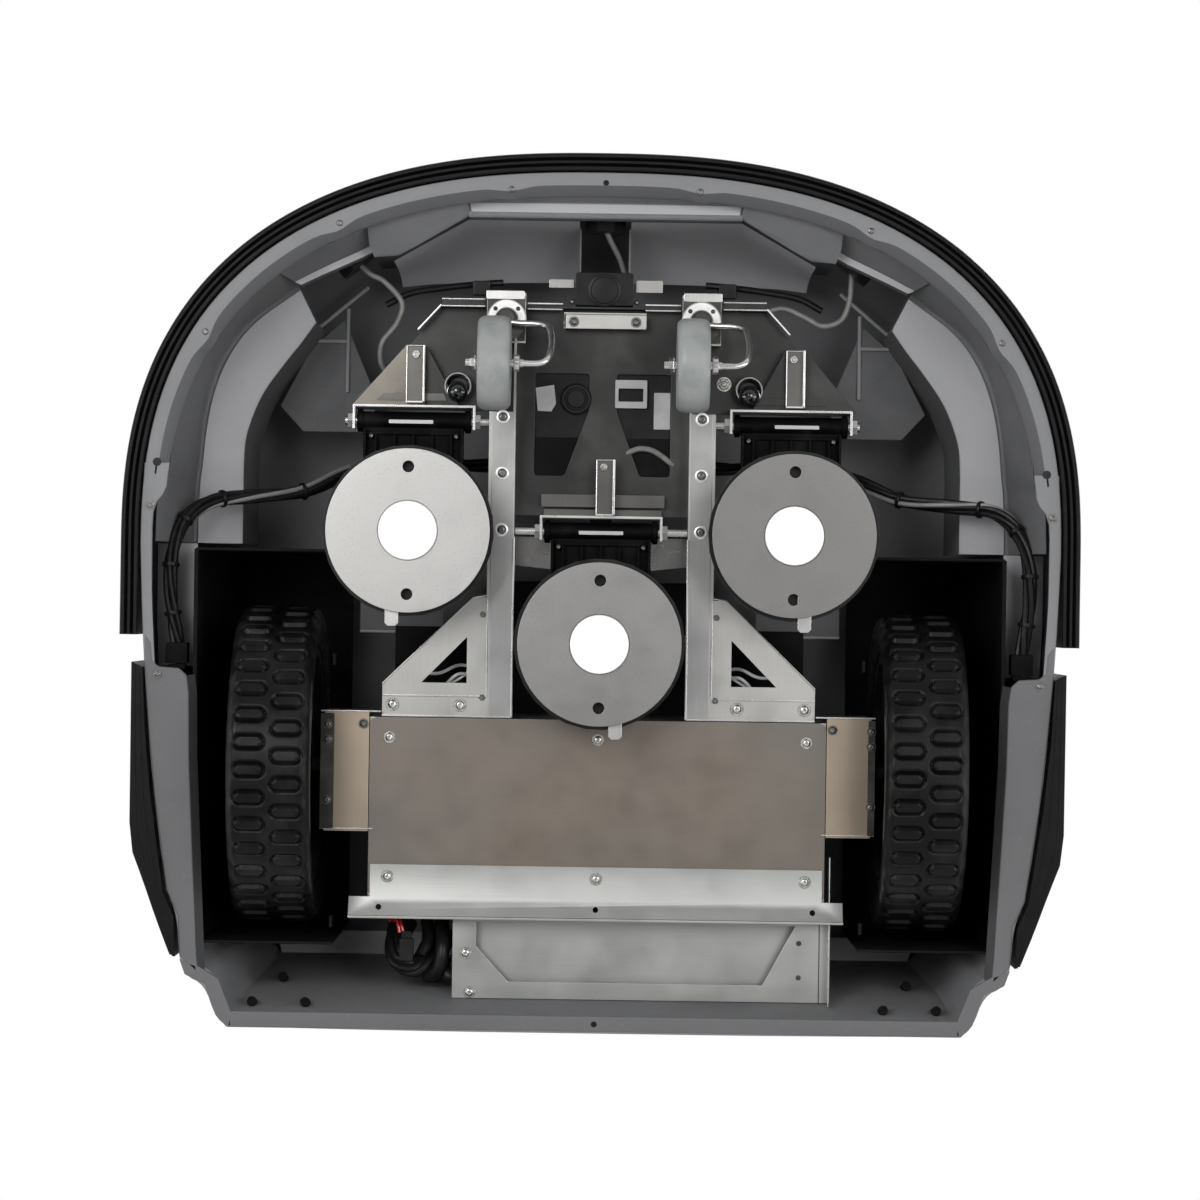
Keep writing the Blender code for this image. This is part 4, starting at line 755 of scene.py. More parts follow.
def build_lining():
    """The stepped inner skin: a wall up from the flange, a shelf painted pale as lit, and a second wall up to the roof.
    """
    walls, shelves, inner, ledges, wedge, front = (Shape() for _ in range(6))
    wall_low, outer_z, inner_z, top_z = RIM_Z + 0.009, 0.188, 0.203, 0.325
    stations = [  # flange edge, outer and inner edge of the shelf, on the +X side
        mm((466, -46), (440, -46), (386, -46)),
        mm((465, -80), (439.5, -80), (386, -80)),
        mm((462, -106), (438, -110), (386, -110)),
        mm((452, -124), (435, -132), (386, -132)),
        mm((450, -160), (432, -165), (383, -165)),
        mm((443, -211), (425, -208), (368, -205)),
        mm((428, -253), (410, -249), (345, -239)),
        mm((398, -298), (382, -286), (327, -262)),
        mm((356, -336), (329, -324), (310.2, -285.7)),
    ]
    for side in SIDES.values():
        line = [smooth_line([(p[0], p[1], 0) for p in column], 5) for column in zip(*stations)]
        rows, flats = [], []
        for flange, outer, edge in zip(*line):
            top, bend = edge * 0.985, flange.lerp(outer, 0.72)
            start, first, last = (outer.lerp(edge, t) for t in (0.06, 0.14, 0.95))
            lower = [(flange, wall_low), (bend, 0.15), (outer, outer_z - 0.004), (start, outer_z + 0.002)]
            upper = [(first, outer_z + 0.005), (last, inner_z + 0.004), (edge, inner_z + 0.006), (top, top_z)]
            rows.append(raised(lower + upper, side))
            flat = [(first, outer_z + 0.001), (first.lerp(last, 0.5), (outer_z + inner_z) / 2 - 0.001)]
            flats.append(raised([*flat, (last, inner_z - 0.0002), (edge, inner_z + 0.002)], side))
        walls.panel(rows, 0.0022)
        shelves.panel(flats, 0.0018)
        # The step beyond the shelf's end, with its lip painted bright as lit, round to the sensor's pocket.
        outer_edge = mm((355, -336), (330, -351), (303, -366), (272, -382), (254, -390))
        lip_edge = mm((329, -324), (308, -335), (288, -345), (260, -358), (245, -366))
        rows, lips = [], []
        for flange, lip in zip(map(Vector, outer_edge), map(Vector, lip_edge)):
            inward = lip + (lip - flange).normalized() * 0.007
            rows.append(raised([(flange, wall_low), (lip, 0.15), (inward, 0.152), (inward, 0.176)], side))
            lips.append(raised([(lip, 0.147), (inward, 0.148)], side))
        walls.panel(rows, 0.002)
        shelves.panel(lips, 0.0016)
        # The sensor's pocket: its end wall, and the slanted wall towards the front ledge.
        end = mm((310.2, -285.7), (320, -305), (329, -324))
        walls.panel([[(side * x, y, z) for x, y in end] for z in (inner_z, 0.262)], 0.002)
        pocket = (mm((249, -397, 89), (196, -411, 87), (147, -419, 86)),
            mm((250, -378, 108), (208, -388, 104), (145, -406, 100)),
            mm((249, -362, 126), (213, -364, 124), (143, -396.5, 113)),
            mm((244, -350, 133), (218, -352, 133), (142.5, -395, 120)))
        wedge.panel([mirror(row, side) for row in pocket], 0.0018)
        drop = mm((244, -350), (218, -352), (142.5, -395))
        slanted = [(x, y, z) for (x, y), z in zip(drop, (0.275, 0.265, 0.19))]
        inner.panel([[(side * x, y, 0.13) for x, y in drop], mirror(slanted, side)], 0.0018)
        # The inner wall behind the outer heads, and the thin ribs in front of them.
        ribs = mm((326, -272), (282, -272), (282, -308), (282, -216), (323, -279), (260, -332))
        for start, stop in zip(ribs[::2], ribs[1::2]):
            walls.tube(mirror([(*start, 0.3), (*stop, 0.3)], side), 0.0022, 8)
        slab = mm((323, -264), (286, -296), (256, -225), (248, -172), (330, -172), (356, -200))
        inner.plate(mirror(slab, side), 0.302, 0.3045, bevel=0.001)
        # The grey floor of the bay that the harness runs down.
        bay = mm((429, -45), (471.5, -45), (471.5, 30), (469, 86), (429, 86))
        walls.plate(mirror(bay, side), 0.158, 0.16, bevel=0.0006)
        # The cross step over the heads, with its lip.
        inner.box((side * 0.172, -0.03, 0.296), (side * 0.264, 0.048, 0.298), 0.0008)
        walls.box((side * 0.172, 0.0455, 0.293), (side * 0.264, 0.0485, 0.2985), 0.0008)
    # The front ledge, and its return up to the hood's front.
    ledge_rows = mm((154, -418, 87), (150, -410.5, 108), (148, -408.5, 111), (144, -394, 112))
    ledge_rows += mm((144, -392.3, 113.5), (144, -393.5, 150))
    rows = [[(-half, y, z), (half, y, z)] for half, y, z in ledge_rows]
    walls.panel(rows, 0.002)
    step = mm((-144, -407.5), (144, -407.5), (141, -397.5), (-141, -397.5))
    ledges.plate(step, 0.11, 0.1114, bevel=0.0006)
    # The front's sloping inner face, painted pale as lit towards the deck, with the sensor's channel between its
    # halves.
    for side in SIDES.values():
        face = (mm((27.5, -393, 150), (145, -393, 150), (190, -367.5, 150), (224, -348, 150)),
            mm((27.5, -389, 210), (145, -388, 210), (190, -364, 215), (223.5, -346, 220)),
            mm((27.5, -378, 245), (145, -377, 245), (190, -358, 248), (223, -343, 250)),
            mm((27.5, -362, 274), (145, -360, 274), (190, -350, 275), (222.5, -339, 276)),
            mm((27.5, -340, 294), (145, -338, 294), (190, -336, 293), (222, -332, 291)))
        front.panel([mirror(row, side) for row in face], 0.002)
        inner.box((side * 0.0255, -0.39, 0.2), (side * 0.0277, -0.34, 0.295), 0.0006)
    # The rear wall and the steps of its corners.
    path = mm((-415, 378), (-414, 396), (-394, 409), (-383, 446), (-364, 446))
    path += mm((364, 446), (383, 446), (394, 409), (414, 396), (415, 378))
    path = cut_corners(path, 2)
    rows = [[(x * 1.012, y + 0.006, 0.088) for x, y in path], [(x, y, 0.0915) for x, y in path],
        [(x * 0.985, max(y - 0.017, 0.3765), 0.16) for x, y in path],
        [(x * 0.955, max(y - 0.028, 0.3765), 0.25) for x, y in path],
        [(x * 0.925, max(y - 0.04, 0.3765), 0.34) for x, y in path]]
    walls.panel(rows, 0.002)
    ledge = mm((-348, 408), (-354, 386), (-330, 381), (330, 381), (354, 386), (348, 408))
    walls.plate(ledge, 0.338, 0.34, bevel=0.0008)
    holes = Shape()
    slanted = Vector((0, -0.2, -0.98)).normalized()
    for side in SIDES.values():
        for x, y, z in mm((360, 436, 108), (304, 436, 108), (335, 418, 190)):
            boss = mm((0, -26), (5, -26), (5.2, 0), (4.8, 1), (3, 1), (2.6, -0.6))
            holes.turned([*boss, (0, -0.0006)], towards((side * x, y, z), slanted), 24)
    holes.piece("rear_wall_plugs", "well")
    # The shelves and the front face are painted pale as lit, and the inner skin is painted dark as shade, all copies of
    # one plastic.
    walls.piece("hood_lining", "lining", sharp=26)
    shelves.piece("hood_lining_shelves", "shelf", sharp=26)
    inner.piece("hood_inner_skin", "inner", sharp=26)
    ledges.piece("hood_front_ledge", "ledge")
    wedge.piece("hood_sensor_pockets", "lining", sharp=50)
    front.piece("hood_front_face", "shelf", sharp=60)


def build_bumpers():
    """Ribbed rubber strips: three long ribs below and grooves along the outer face."""
    low, high, gap, out = 0.0742, 0.166, 0.0015, 0.0215
    profile = [(gap, high), (gap, low + 0.002), (gap + 0.001, low)]
    ribs, width = 3, (out - gap) / 3
    for i in range(ribs):
        start = gap + width * i
        profile += [(start + width * 0.22, low), (start + width * 0.62, low), (start + width * 0.8, low + 0.0022)]
        if i < ribs - 1:
            profile += [(start + width * 0.92, low + 0.0034), (start + width * 1.05, low + 0.0022)]
    profile[-1] = (out - 0.0012, low + 0.0006)
    levels = 5
    step = (high - low - 0.006) / levels
    for z in (low + 0.003 + step * i for i in range(levels)):
        profile += [(out, z + step * 0.08), (out, z + step * 0.72), (out - 0.0016, z + step * 0.84),
            (out - 0.0016, z + step * 0.94)]
    profile += [(out - 0.001, high - 0.001), (out - 0.003, high)]
    ends = [(RIM_HALF_WIDTH, -0.01), (RIM_HALF_WIDTH, 0.052)]
    path = [*mirror(reversed(ends), -1), *front_curve(0, 140), *ends]
    thinner = [(d * 0.02 / out if d > gap else d, z) for d, z in profile]
    Shape().swept(path, thinner).piece("front_bumper_ribbed", "rubber", replaces=["front_bumper"], sharp=24)
    for name, side in SIDES.items():
        outer = mm((487.8, 80), (487.5, 180), (487.3, 270), (473, 307), (458, 349), (444.2, 384))
        inner = mm((475.8, 86), (472.5, 151), (465.5, 221), (451.5, 319), (440, 346), (438, 388))
        shape = Shape()
        outline = [*cut_corners(outer, 1), *reversed(inner)]
        shape.plate(mirror(outline, side), 0.0745, 0.1858, bevel=0.0012)
        for t in (0.3, 0.68):
            line = [Vector(a).lerp(Vector(b), t) for a, b in zip(outer, inner)]
            shape.tube([(side * p.x, p.y, 0.0747) for p in line], 0.0011, 8)
        shape.piece(f"side_bumper_{name}_ribbed", "rubber", replaces=[f"side_bumper_{name}"])


def build_wells():
    """The wells' own solids, with ribs and lips inside them."""
    for name, side in SIDES.items():
        refined(f"wheel_well_{name}", "well", 0.0012)
        shape = Shape()
        for y in (0.02, 0.1, 0.19, 0.28):
            shape.box((side * 0.28, y - 0.0015, 0.344), (side * 0.383, y + 0.0015, 0.3468), 0.0005)
        shape.box((side * 0.4255, -0.0385, 0.0925), (side * 0.423, 0.372, 0.0985), 0.0006)
        for y in (0.075, 0.35):
            shape.box((side * 0.276, y - 0.006, 0.093), (side * 0.279, y + 0.006, 0.106), 0.0005)
        shape.piece(f"wheel_well_{name}_ribs", "well")


# ---------------------------------------------------------------- wheels
def build_tyres():
    """The tread as a height field: two staggered rows of oval lugs, each in its own ring groove."""
    lugs, around, across = 36, 36 * 20, 58
    top, half = 0.168, 0.043
    row_at, reach, lug = 0.0192, 0.0085, 0.0062
    pitch = math.tau / lugs

    def depth(angle, v):
        """How far the tread lies below the tops of its lugs."""
        best = 1.0
        for row, shift in ((-row_at, 0.0), (row_at, 0.5)):
            turn = (angle / pitch - shift + 0.5) % 1.0 - 0.5
            du = turn * pitch * top
            dv = max(abs(v - row) - reach, 0.0)
            best = min(best, math.hypot(du, dv) - lug)
        if best < -0.0012:
            return 0.0
        if best < 0.0004:
            return 0.0042 * (best + 0.0012) / 0.0016
        if best < 0.0018:
            return 0.0042
        if best < 0.003:
            return 0.0042 - 0.0022 * (best - 0.0018) / 0.0012
        return 0.002

    for name, side in SIDES.items():
        part = bmesh.new()
        rows = []
        for j in range(across + 1):
            v = -half + 2 * half * j / across
            edge = max(abs(v) - 0.033, 0.0) / (half - 0.033)
            crown = top - 0.0095 * edge**2.2
            ring = []
            for i in range(around):
                angle = math.tau * i / around
                scallop = 0.0016 * (0.5 + 0.5 * math.cos(angle / pitch * math.tau)) * min(edge * 2.0, 1.0)
                radius = crown - depth(angle, v) * (1 - edge * 0.7) - scallop
                ring.append(part.verts.new((v, *on_circle(angle, radius))))
            rows.append(ring)
        turns = [on_circle(math.tau * i / around, 1) for i in range(around)]
        sidewall = mm((43.6, 152), (44, 144), (42.5, 134), (39.5, 126.8))
        lower, upper = ([[part.verts.new((way * v * 0.977, r * c, r * s)) for c, s in turns] for v,
            r in sidewall] for way in (-1, 1))
        bridge(part, [*reversed(lower), *rows, *upper], looped=True)
        tyre = Shape().take(part, Matrix.Translation((side * WHEEL_X, WHEEL_Y, WHEEL_Z)))
        tyre.piece(f"drive_tyre_{name}_lugged", "tyre", f"drive_wheel_{name}", [f"drive_tyre_{name}"], 50)

        refined(f"drive_wheel_{name}", "black", 0.0012)
        outside = Shape()
        face = towards((side * (WHEEL_X + 0.029), WHEEL_Y, WHEEL_Z), (side, 0, 0))
        outside.turned(mm((0, -1), (38, -1), (38, 3), (33, 6.5), (12, 7.5), (0, 7.5)), face, 48)
        for i in range(6):
            angle = math.tau * i / 6
            rib = mm((40, -5), (110, -9), (110, 9), (40, 5))
            outside.plate(rib, -0.001, 0.005, place=face @ Matrix.Rotation(angle, 4, "Z"), bevel=0.0012)
        outside.piece(f"drive_wheel_{name}_spokes", "black", f"drive_wheel_{name}")
        bolts = Shape()
        for i in range(5):
            angle = math.tau * (i + 0.5) / 5
            at = face @ Vector((*on_circle(angle, 0.024), 0.0064))
            bolts.nut(at, (side, 0, 0), 0.005, 0.0035, 0.0015)
        bolts.piece(f"drive_wheel_{name}_bolts", "zinc", f"drive_wheel_{name}")


def build_casters():
    """Forks bent from one rod each, their stems, and the grey wheels."""
    trail, offset, radius, half = 0.052, -0.01, 0.049, 0.018
    for name, side in SIDES.items():
        swivel = Vector((side * 0.103, -0.287, 0.1285))
        hub = swivel + Vector((offset, trail, radius - 0.1285))
        axle_z = radius - 0.1285
        fork = Shape()
        bar = [(0.0, 0.004, -0.012), (0.014, 0.006, -0.016), (0.034, 0.007, -0.02), (0.045, 0.011, -0.027),
            (0.048, 0.022, -0.041), (0.048, 0.036, -0.062), (0.045, trail - 0.005, axle_z + 0.003),
            (0.036, trail, axle_z), (0.014, trail, axle_z)]
        fork.tube([swivel + Vector(p) for p in bar], 0.0035, 14, smooth=6)
        out = Vector((1, 0, 0))
        end = swivel + Vector((0, trail, axle_z))
        fork.turned(mm((0, -40), (4.5, -40), (4.5, 20), (0, 20)), towards(end, out), 18)
        fork.turned(mm((0, 10), (8.5, 10), (8.8, 10.8), (8.8, 15.8), (8, 16.6), (0, 16.6)), towards(end, out), 24)
        stem = Shape()
        stem.turned(mm((0, -17), (8.6, -17), (9.2, -16.2), (9.2, -1), (0, -0.5)), Matrix.Translation(swivel), 28)
        crown = [swivel.to_2d() + Vector((0, 0.003)) + Vector(p) for p in arc(0.0205, 180, 24)]
        stem.plate([(p.x, p.y) for p in crown], 0.1252, 0.1268, bevel=0.0005)
        stem.piece(f"caster_stem_{name}", "dark", f"caster_fork_{name}")
        fork.nut(hub + Vector((-half - 0.0016, 0, 0)), (-1, 0, 0), 0.008, 0.005, 0.0022, 0.0092)
        fork.piece(f"caster_fork_{name}_bent", "bright", f"caster_fork_{name}", [f"caster_fork_{name}"])
        wheel = Shape()
        bore = 0.005
        side_face = [(bore, 0.015), (0.012, 0.015), (0.0135, 0.0132), (0.033, 0.0132), (0.0355, 0.015),
            (0.0405, 0.0168)]
        side_face += mm((43.2, 17), (45.5, 15.8), (47.8, 12.8), (48.7, 9.8), (49, 6))
        profile = [(r, -h) for r, h in side_face] + [(r, h) for r, h in reversed(side_face)]
        wheel.turned(profile, towards(hub, (1, 0, 0)), 72, closed=True)
        wheel.piece(f"caster_wheel_{name}_tread", "caster", f"caster_wheel_{name}", [f"caster_wheel_{name}"], 40)


# ---------------------------------------------------------------- chassis
def build_chassis():
    """The chassis sheets, and what is bolted, folded and stamped on them."""
    refined("chassis_box", "steel_x", 0.0006)
    refined("tail_flange", "alloy", 0.0004)
    refined("rear_tray", "tray", 0.0004, merge=False)
    for side in SIDES:
        refined(f"frame_beam_{side}", "gusset", 0.0004, merge=False)
        refined(f"motor_mount_{side}", "tan", 0.0005)
        refined(f"drive_motor_{side}", "metal", 0.001)
    refined("deck_plate", "deck", 0.0005, merge=False)
    refined("battery_pack", "black", 0.002)
    refined("control_box", "black", 0.0015)

    plate = Shape()
    low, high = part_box("box_bottom_plate")
    outline = rectangle(low.x, low.y, high.x, high.y, 0.01, 8)
    plate.plate(outline, low.z, high.z, bevel=0.0007)
    plate.piece("bottom_plate_sheet", "plate", replaces=["box_bottom_plate"])

    screws, washers, dark = Shape(), Shape(), Shape()
    for x in (-0.2205, 0.0, 0.2205):
        screws.screw((x, 0.157, low.z), radius=0.0043, washer=0.0066)
        screws.screw((x, 0.304, 0.1269), radius=0.0043, washer=0.0066)
    for side in SIDES.values():
        for y in (-0.1835, -0.1237, -0.0639):
            ring = mm((0, 0), (7.2, 0), (7.2, 0.8), (6.4, 1.3), (5.2, 1.3), (4.4, 0.5), (0, 0.5))
            washers.turned(ring, towards((side * 0.1055, y, 0.1345), DOWN), 28)
            dark.screw((side * 0.1055, y, 0.1341), radius=0.0041, height=0.0014)
        for x in (0.1465, 0.218):
            dark.nut((side * x, 0.13, 0.148), (0, -1, 0), 0.0055, 0.0045, 0.003, 0.0072)
            screws.screw((side * x, 0.1225, 0.135), radius=0.0048, washer=0.007)
        outer_x = 0.2855 if side < 0 else 0.289
        for x, y in ((outer_x, 0.144), (outer_x, 0.16), (outer_x, 0.224), (0.248, 0.143)):
            dark.screw((side * x, y, 0.1262), radius=0.0038, washer=0.005)
        for y in (0.026, 0.114):
            dark.nut((side * 0.1235, y, 0.135), DOWN, 0.0035, 0.0022, 0.0012)
    for x, y in ((-0.137, 0.385), (-0.1325, 0.4265)):
        screws.screw((x, y, 0.14), radius=0.0045, washer=0.0062)
    screws.piece("chassis_screws", "zinc")
    washers.piece("beam_washers", "pale")
    dark.piece("chassis_bolts", "grime")

    extra = Shape()
    for side in SIDES.values():
        # The gearbox's flange under the outer half of each mount, and the dark bearing ring at the wheel.
        start = 0.2785 if side < 0 else 0.2855
        extra.sheet(side * start, 0.1325, side * 0.2932, 0.2545, 0.1262, 0.1276, 0.002)
        extra.turned(mm((12, 0), (31, 0), (32.5, 2), (32.5, 4), (12, 4)),
            towards((side * 0.2895, WHEEL_Y, WHEEL_Z), (side, 0, 0)), 48, closed=True)
        # A thin dark sheet round each swivel bearing: painted shade on the mount plate.
        extra.sheet(side * 0.0836, -0.312, side * 0.1236, -0.264, 0.1369, 0.1374, 0.001, 0.0001)
    extra.piece("gearbox_flanges_and_swivel_shade", "dark")
    edges, faces = Shape(), Shape()
    for side in SIDES.values():
        # The beam's face over the gusset's sheet, and thin strips of bright steel along the beam's edge, the gusset's
        # upright flange and its slanted edge: painted highlights on the edges.
        faces.sheet(side * 0.093, -0.189, side * 0.1165, 0.1345, 0.134, 0.1349, 0.0008, 0.0003)
        edges.boxes(side, (91.2, -56, 131.8, 93.2, 134.5, 134.9, 0.3), (230, 129.2, 125.5, 293, 130.8, 130, 0.3),
            (237, 253.6, 126.6, 293, 254.8, 130, 0.3), (119.5, 112, 133, 228.5, 113.6, 135, 0.3),
            (93, 133.5, 131, 229, 135.2, 135, 0.3))
        edges.tube(mirror(mm((120.5, 6, 134.6), (134, 8, 134.6), (229, 100.5, 134.6)), side), 0.0009, 8)
        edges.box((side * 0.1185, 0.01, 0.1335), (side * 0.1196, 0.112, 0.1349), 0.0002)
    edges.piece("beam_edges", "bright")
    faces.piece("beam_faces", "beam")
    lid = Shape()
    lid.sheet(-0.149, 0.351, 0.247, 0.3745, 0.231, 0.2326)
    lid.sheet(-0.149, 0.3755, 0.247, 0.431, 0.23, 0.2316)
    lid.piece("tray_lid", "tray_lid")
    # The lips are thin strips of bright steel along the lid's step and the tray's side: painted highlights on the
    # edges.
    lips, gaps = Shape(), Shape()
    lips.boxes(1, (-148, 376.8, 228.4, 246, 378.2, 230.2, 0.3), (-130, 415, 225, 228, 416.8, 230.2, 0.4),
        (246.2, 278, 126.2, 247.4, 436, 142, 0.3))
    lips.piece("tray_lips", "bright")
    gaps.boxes(1, (-148, 373.8, 229, 246, 375.4, 231.2, 0.2), (-130, 412.6, 228.5, 228, 414, 230.2, 0.2),
        (237.2, 348, 138.9, 238, 434, 139.7, 0.1))
    for y in (0.37, 0.4063):
        gaps.turned(mm((0, 0), (2.6, 0), (2.8, 0.4), (0, 0.6)), towards((0.216, y, 0.1396), DOWN), 20)
    gaps.piece("tray_creases", "dark")

    # The fold lines at the deck's front are thin strips of bright steel on the near-black deck: painted highlights
    # along the bends.
    folds, shade = Shape(), Shape()
    for side in SIDES.values():
        shade.plate(mirror(mm((126.5, -309), (172, -309), (172.5, -300.8), (126.5, -300.8)), side), 0.1486, 0.15,
            bevel=0.0004)
        for y in (-0.3095, -0.302):
            folds.box((side * 0.1265, y, 0.1468), (side * 0.1722, y + 0.0016, 0.15), 0.0004)
        slant = mm((172, -302), (173.8, -303), (198.5, -276), (196.8, -274.8))
        folds.plate(mirror(slant, side), 0.149, 0.166)
        folds.boxes(side, (44, -306, 150, 82, -304.2, 156, 0.4), (44, -300, 150, 82, -298.5, 156, 0.4))
        # The bright tab above each swivel bearing.
        folds.sheet(side * 0.125, -0.3172, side * 0.0845, -0.3082, 0.1358, 0.1374, 0.0015)
    folds.piece("deck_front_folds", "bright")
    shade.piece("deck_front_flange", "deck")

    for name, side in SIDES.items():
        bearing = Shape()
        at = (side * 0.103, -0.287, 0.1376)
        ring = mm((11.5, 0), (11.5, 9.3), (12.2, 9.9), (19.6, 9.9), (20.8, 8.8), (20.9, 0))
        bearing.turned(ring, towards(at, DOWN), 48, closed=True)
        bearing.piece(f"swivel_bearing_{name}", "pale")
        bolts = Shape()
        bolts.turned(mm((9.4, 0), (9.4, 9.9), (11.3, 9.9), (11.3, 0)), towards(at, DOWN), 40, closed=True)
        for x, y in mm((-12, -10.5), (12, -10.5), (-12, 11), (12, 11)):
            bolts.screw((at[0] + x, at[1] + y, 0.1278), radius=0.0024, height=0.001)
        bolts.piece(f"swivel_bolts_{name}", "dark")

    supports, plates, floors, floors_low, shaded_plates = (Shape() for _ in range(5))
    half = 0.01
    for x, y0, y1 in mm((-199, -258.5, -197), (204, -258.5, -197), (4, -140, -80)):
        x0, x1 = x - half, x + half
        # Each channel's floor is a darker copy of the steel and its rims are bright steel: painted shade on the floor
        # and painted highlights on the rims, widest on the right and rear.
        floors.box((x0, y0, 0.145), (x1, y1, 0.1462), 0.0003)
        for low, high, bevel in (((x1 - 0.0022, y0, 0.137), (x1, y1), 0.0004),
            ((x0, y1 - 0.0022, 0.137), (x1, y1), 0.0004), ((x0, y0, 0.1425), (x1, y0 + 0.001), 0.0003),
            ((x0, y0, 0.1425), (x0 + 0.001, y1), 0.0003)):
            supports.box(low, (*high, 0.1462), bevel)
    # Each trapezoid plate is split into a lit part in the paler support steel and a part in shade in the near-black
    # deck steel: painted light and shade. The right plate and its foot take the deck steel whole, as painted shade.
    for x, y0, y1, left_foot, right_foot in mm((-199, -258.5, -197, 68, 47), (204, -258.5, -197, 46, 66)):
        front, rear = y0 - 0.001, y1 + 0.0035
        lit = [(x - half, front), (x + half, front), (x + half, rear), (x - left_foot, rear)]
        in_shade = [(x + half, front), (x + right_foot, rear), (x + half, rear)]
        foot = [(x - 0.034, y1 - 0.011), (x + 0.03, y1 - 0.011), (x + 0.033, y1 - 0.003), (x - 0.042, y1 - 0.003)]
        upper, lower = (plates, floors_low) if x < 0 else (shaded_plates, shaded_plates)
        upper.plate(lit, 0.15, 0.1518)
        shaded_plates.plate(in_shade, 0.15, 0.1518)
        lower.plate(foot, 0.1488, 0.1499, bevel=0.0003)
    supports.piece("support_channels", "bright")
    floors.piece("support_floors", "floor")
    floors_low.sheet(-0.064, -0.103, 0.067, -0.0895, 0.1572, 0.1588, 0.001, 0.0003)
    floors_low.sheet(-0.061, -0.087, 0.064, -0.0765, 0.1556, 0.1572, 0.001, 0.0003)
    floors_low.piece("support_feet", "floor")
    plates.piece("support_plates", "support")
    shaded_plates.piece("support_plates_shaded", "deck")
    bolts = Shape()
    for x, y in mm((-199, -249), (202, -249), (2, -132)):
        bolts.nut((x, y, 0.145), DOWN, 0.0046, 0.003, 0.0016)
    for x, y in ((0.129, -0.223), (0.183, -0.223)):
        bolts.nut((x, y, 0.166), DOWN, 0.0062, 0.005, 0.004, 0.0078)
    bolts.piece("support_bolts", "zinc")
    for name, x, y in (("left", -0.1545, -0.2165), ("right", 0.1555, -0.216)):
        cup = Shape()
        cup.turned(mm((9.5, 0), (14.8, 0), (15, 15), (14.2, 16.5), (12.8, 16.5), (12.2, 15), (12.2, 6)),
            towards((x, y, 0.166), DOWN), 40, closed=True)
        cup.piece(f"buffer_cup_{name}", "chrome")
        ball = Shape()
        dome = [(r, 0.016 + h) for r, h in (on_circle(math.radians(5 + 17 * i), 0.0112) for i in range(6))]
        ball.turned([(0, 0), (0.005, 0.0005), (0.0105, 0.004), (0.0112, 0.016), *dome, (0, 0.0272)],
            towards((x, y + 0.0062, 0.164), DOWN), 40)
        ball.piece(f"buffer_{name}", "glass")


def build_heads():
    """The cutting heads, with their glide discs, white caps and ribs."""
    for name, (x, y) in HEADS.items():
        pivot_y = y - ARM_LENGTH
        refined(f"head_bracket_{name}", "bright", 0.0004)
        refined(f"head_arm_{name}", "cast", 0.001)
        refined(f"blade_disc_{name}", "metal", 0.0006)
        for i in (1, 2, 3):
            refined(f"blade_{name}_{i}", "bright", 0.0003)

        glide = Shape()
        holes = [[(px, py + s * 0.066) for px, py in arc(0.006, 345, 23)] for s in (-1, 1)]
        glide.plate(arc(0.085, 357, 119), 0.0, 0.0025, [arc(0.0312, 355, 71), *holes],
            Matrix.Translation((x, y, 0.04)), 0.0005)
        cup = mm((0, 2.2), (33, 2.2), (33, 4.5), (13.5, 4.5), (13.5, 10.5))
        cup += mm((8.5, 10.5), (8.5, 5.8), (0, 5.8))
        glide.turned(cup, Matrix.Translation((x, y, 0.04)), 64)
        glide.piece(f"glide_disc_{name}_plate", f"glide_{name}", f"glide_disc_{name}", [f"glide_disc_{name}"])
        cap = Shape()
        crown = mm((0, 0), (30.2, 0), (30.6, 1.4), (30.6, 4), (30, 5.6), (28.2, 6.6), (15, 7), (0, 7.1))
        cap.turned(crown, towards((x, y, 0.0421), DOWN), 72)
        cap.piece(f"hub_cap_{name}", "white", f"glide_disc_{name}")

        arm = Shape()
        body = f"cutter_arm_{name}"
        for s in (-1, 1):
            arm.turned(mm((7, 0), (11.6, 0), (12.2, 0.8), (12.2, 5.2), (11.6, 6), (7, 6)),
                towards((x + s * 0.054, pivot_y, PIVOT_Z), (s, 0, 0)), 32, closed=True)
            arm.box((x + s * 0.053, pivot_y + 0.008, 0.13), (x + s * 0.05, y + 0.002, 0.1478), 0.0012)
        arm.box((x - 0.05, pivot_y + 0.012, 0.1375), (x + 0.05, pivot_y + 0.015, 0.142), 0.0008)
        for i in range(5):
            rib_x = x + 0.02 * (i - 2)
            arm.box((rib_x - 0.001, pivot_y + 0.015, 0.133), (rib_x + 0.001, y - 0.042, 0.142), 0.0004)
        arm.piece(f"head_arm_{name}_ribs", "cast", body)
        # A thin bright alloy strip across each arm's black barrel: a painted highlight.
        strip = Shape()
        shift = {"left": -0.003, "right": 0.006, "center": 0.0}[name]
        middle, half = x + shift, 0.0235
        strip.sheet(middle - half, pivot_y - 0.001, middle + half, pivot_y + 0.003, 0.1388, 0.1396, 0.0008, 0.0002)
        strip.piece(f"head_arm_{name}_strip", "alloy", body)
        nuts = Shape()
        for s in (-1, 1):
            nuts.screw((x + s * 0.045, pivot_y + 0.0165, 0.1376), radius=0.003)
        nuts.piece(f"head_arm_{name}_screws", "grime", body)


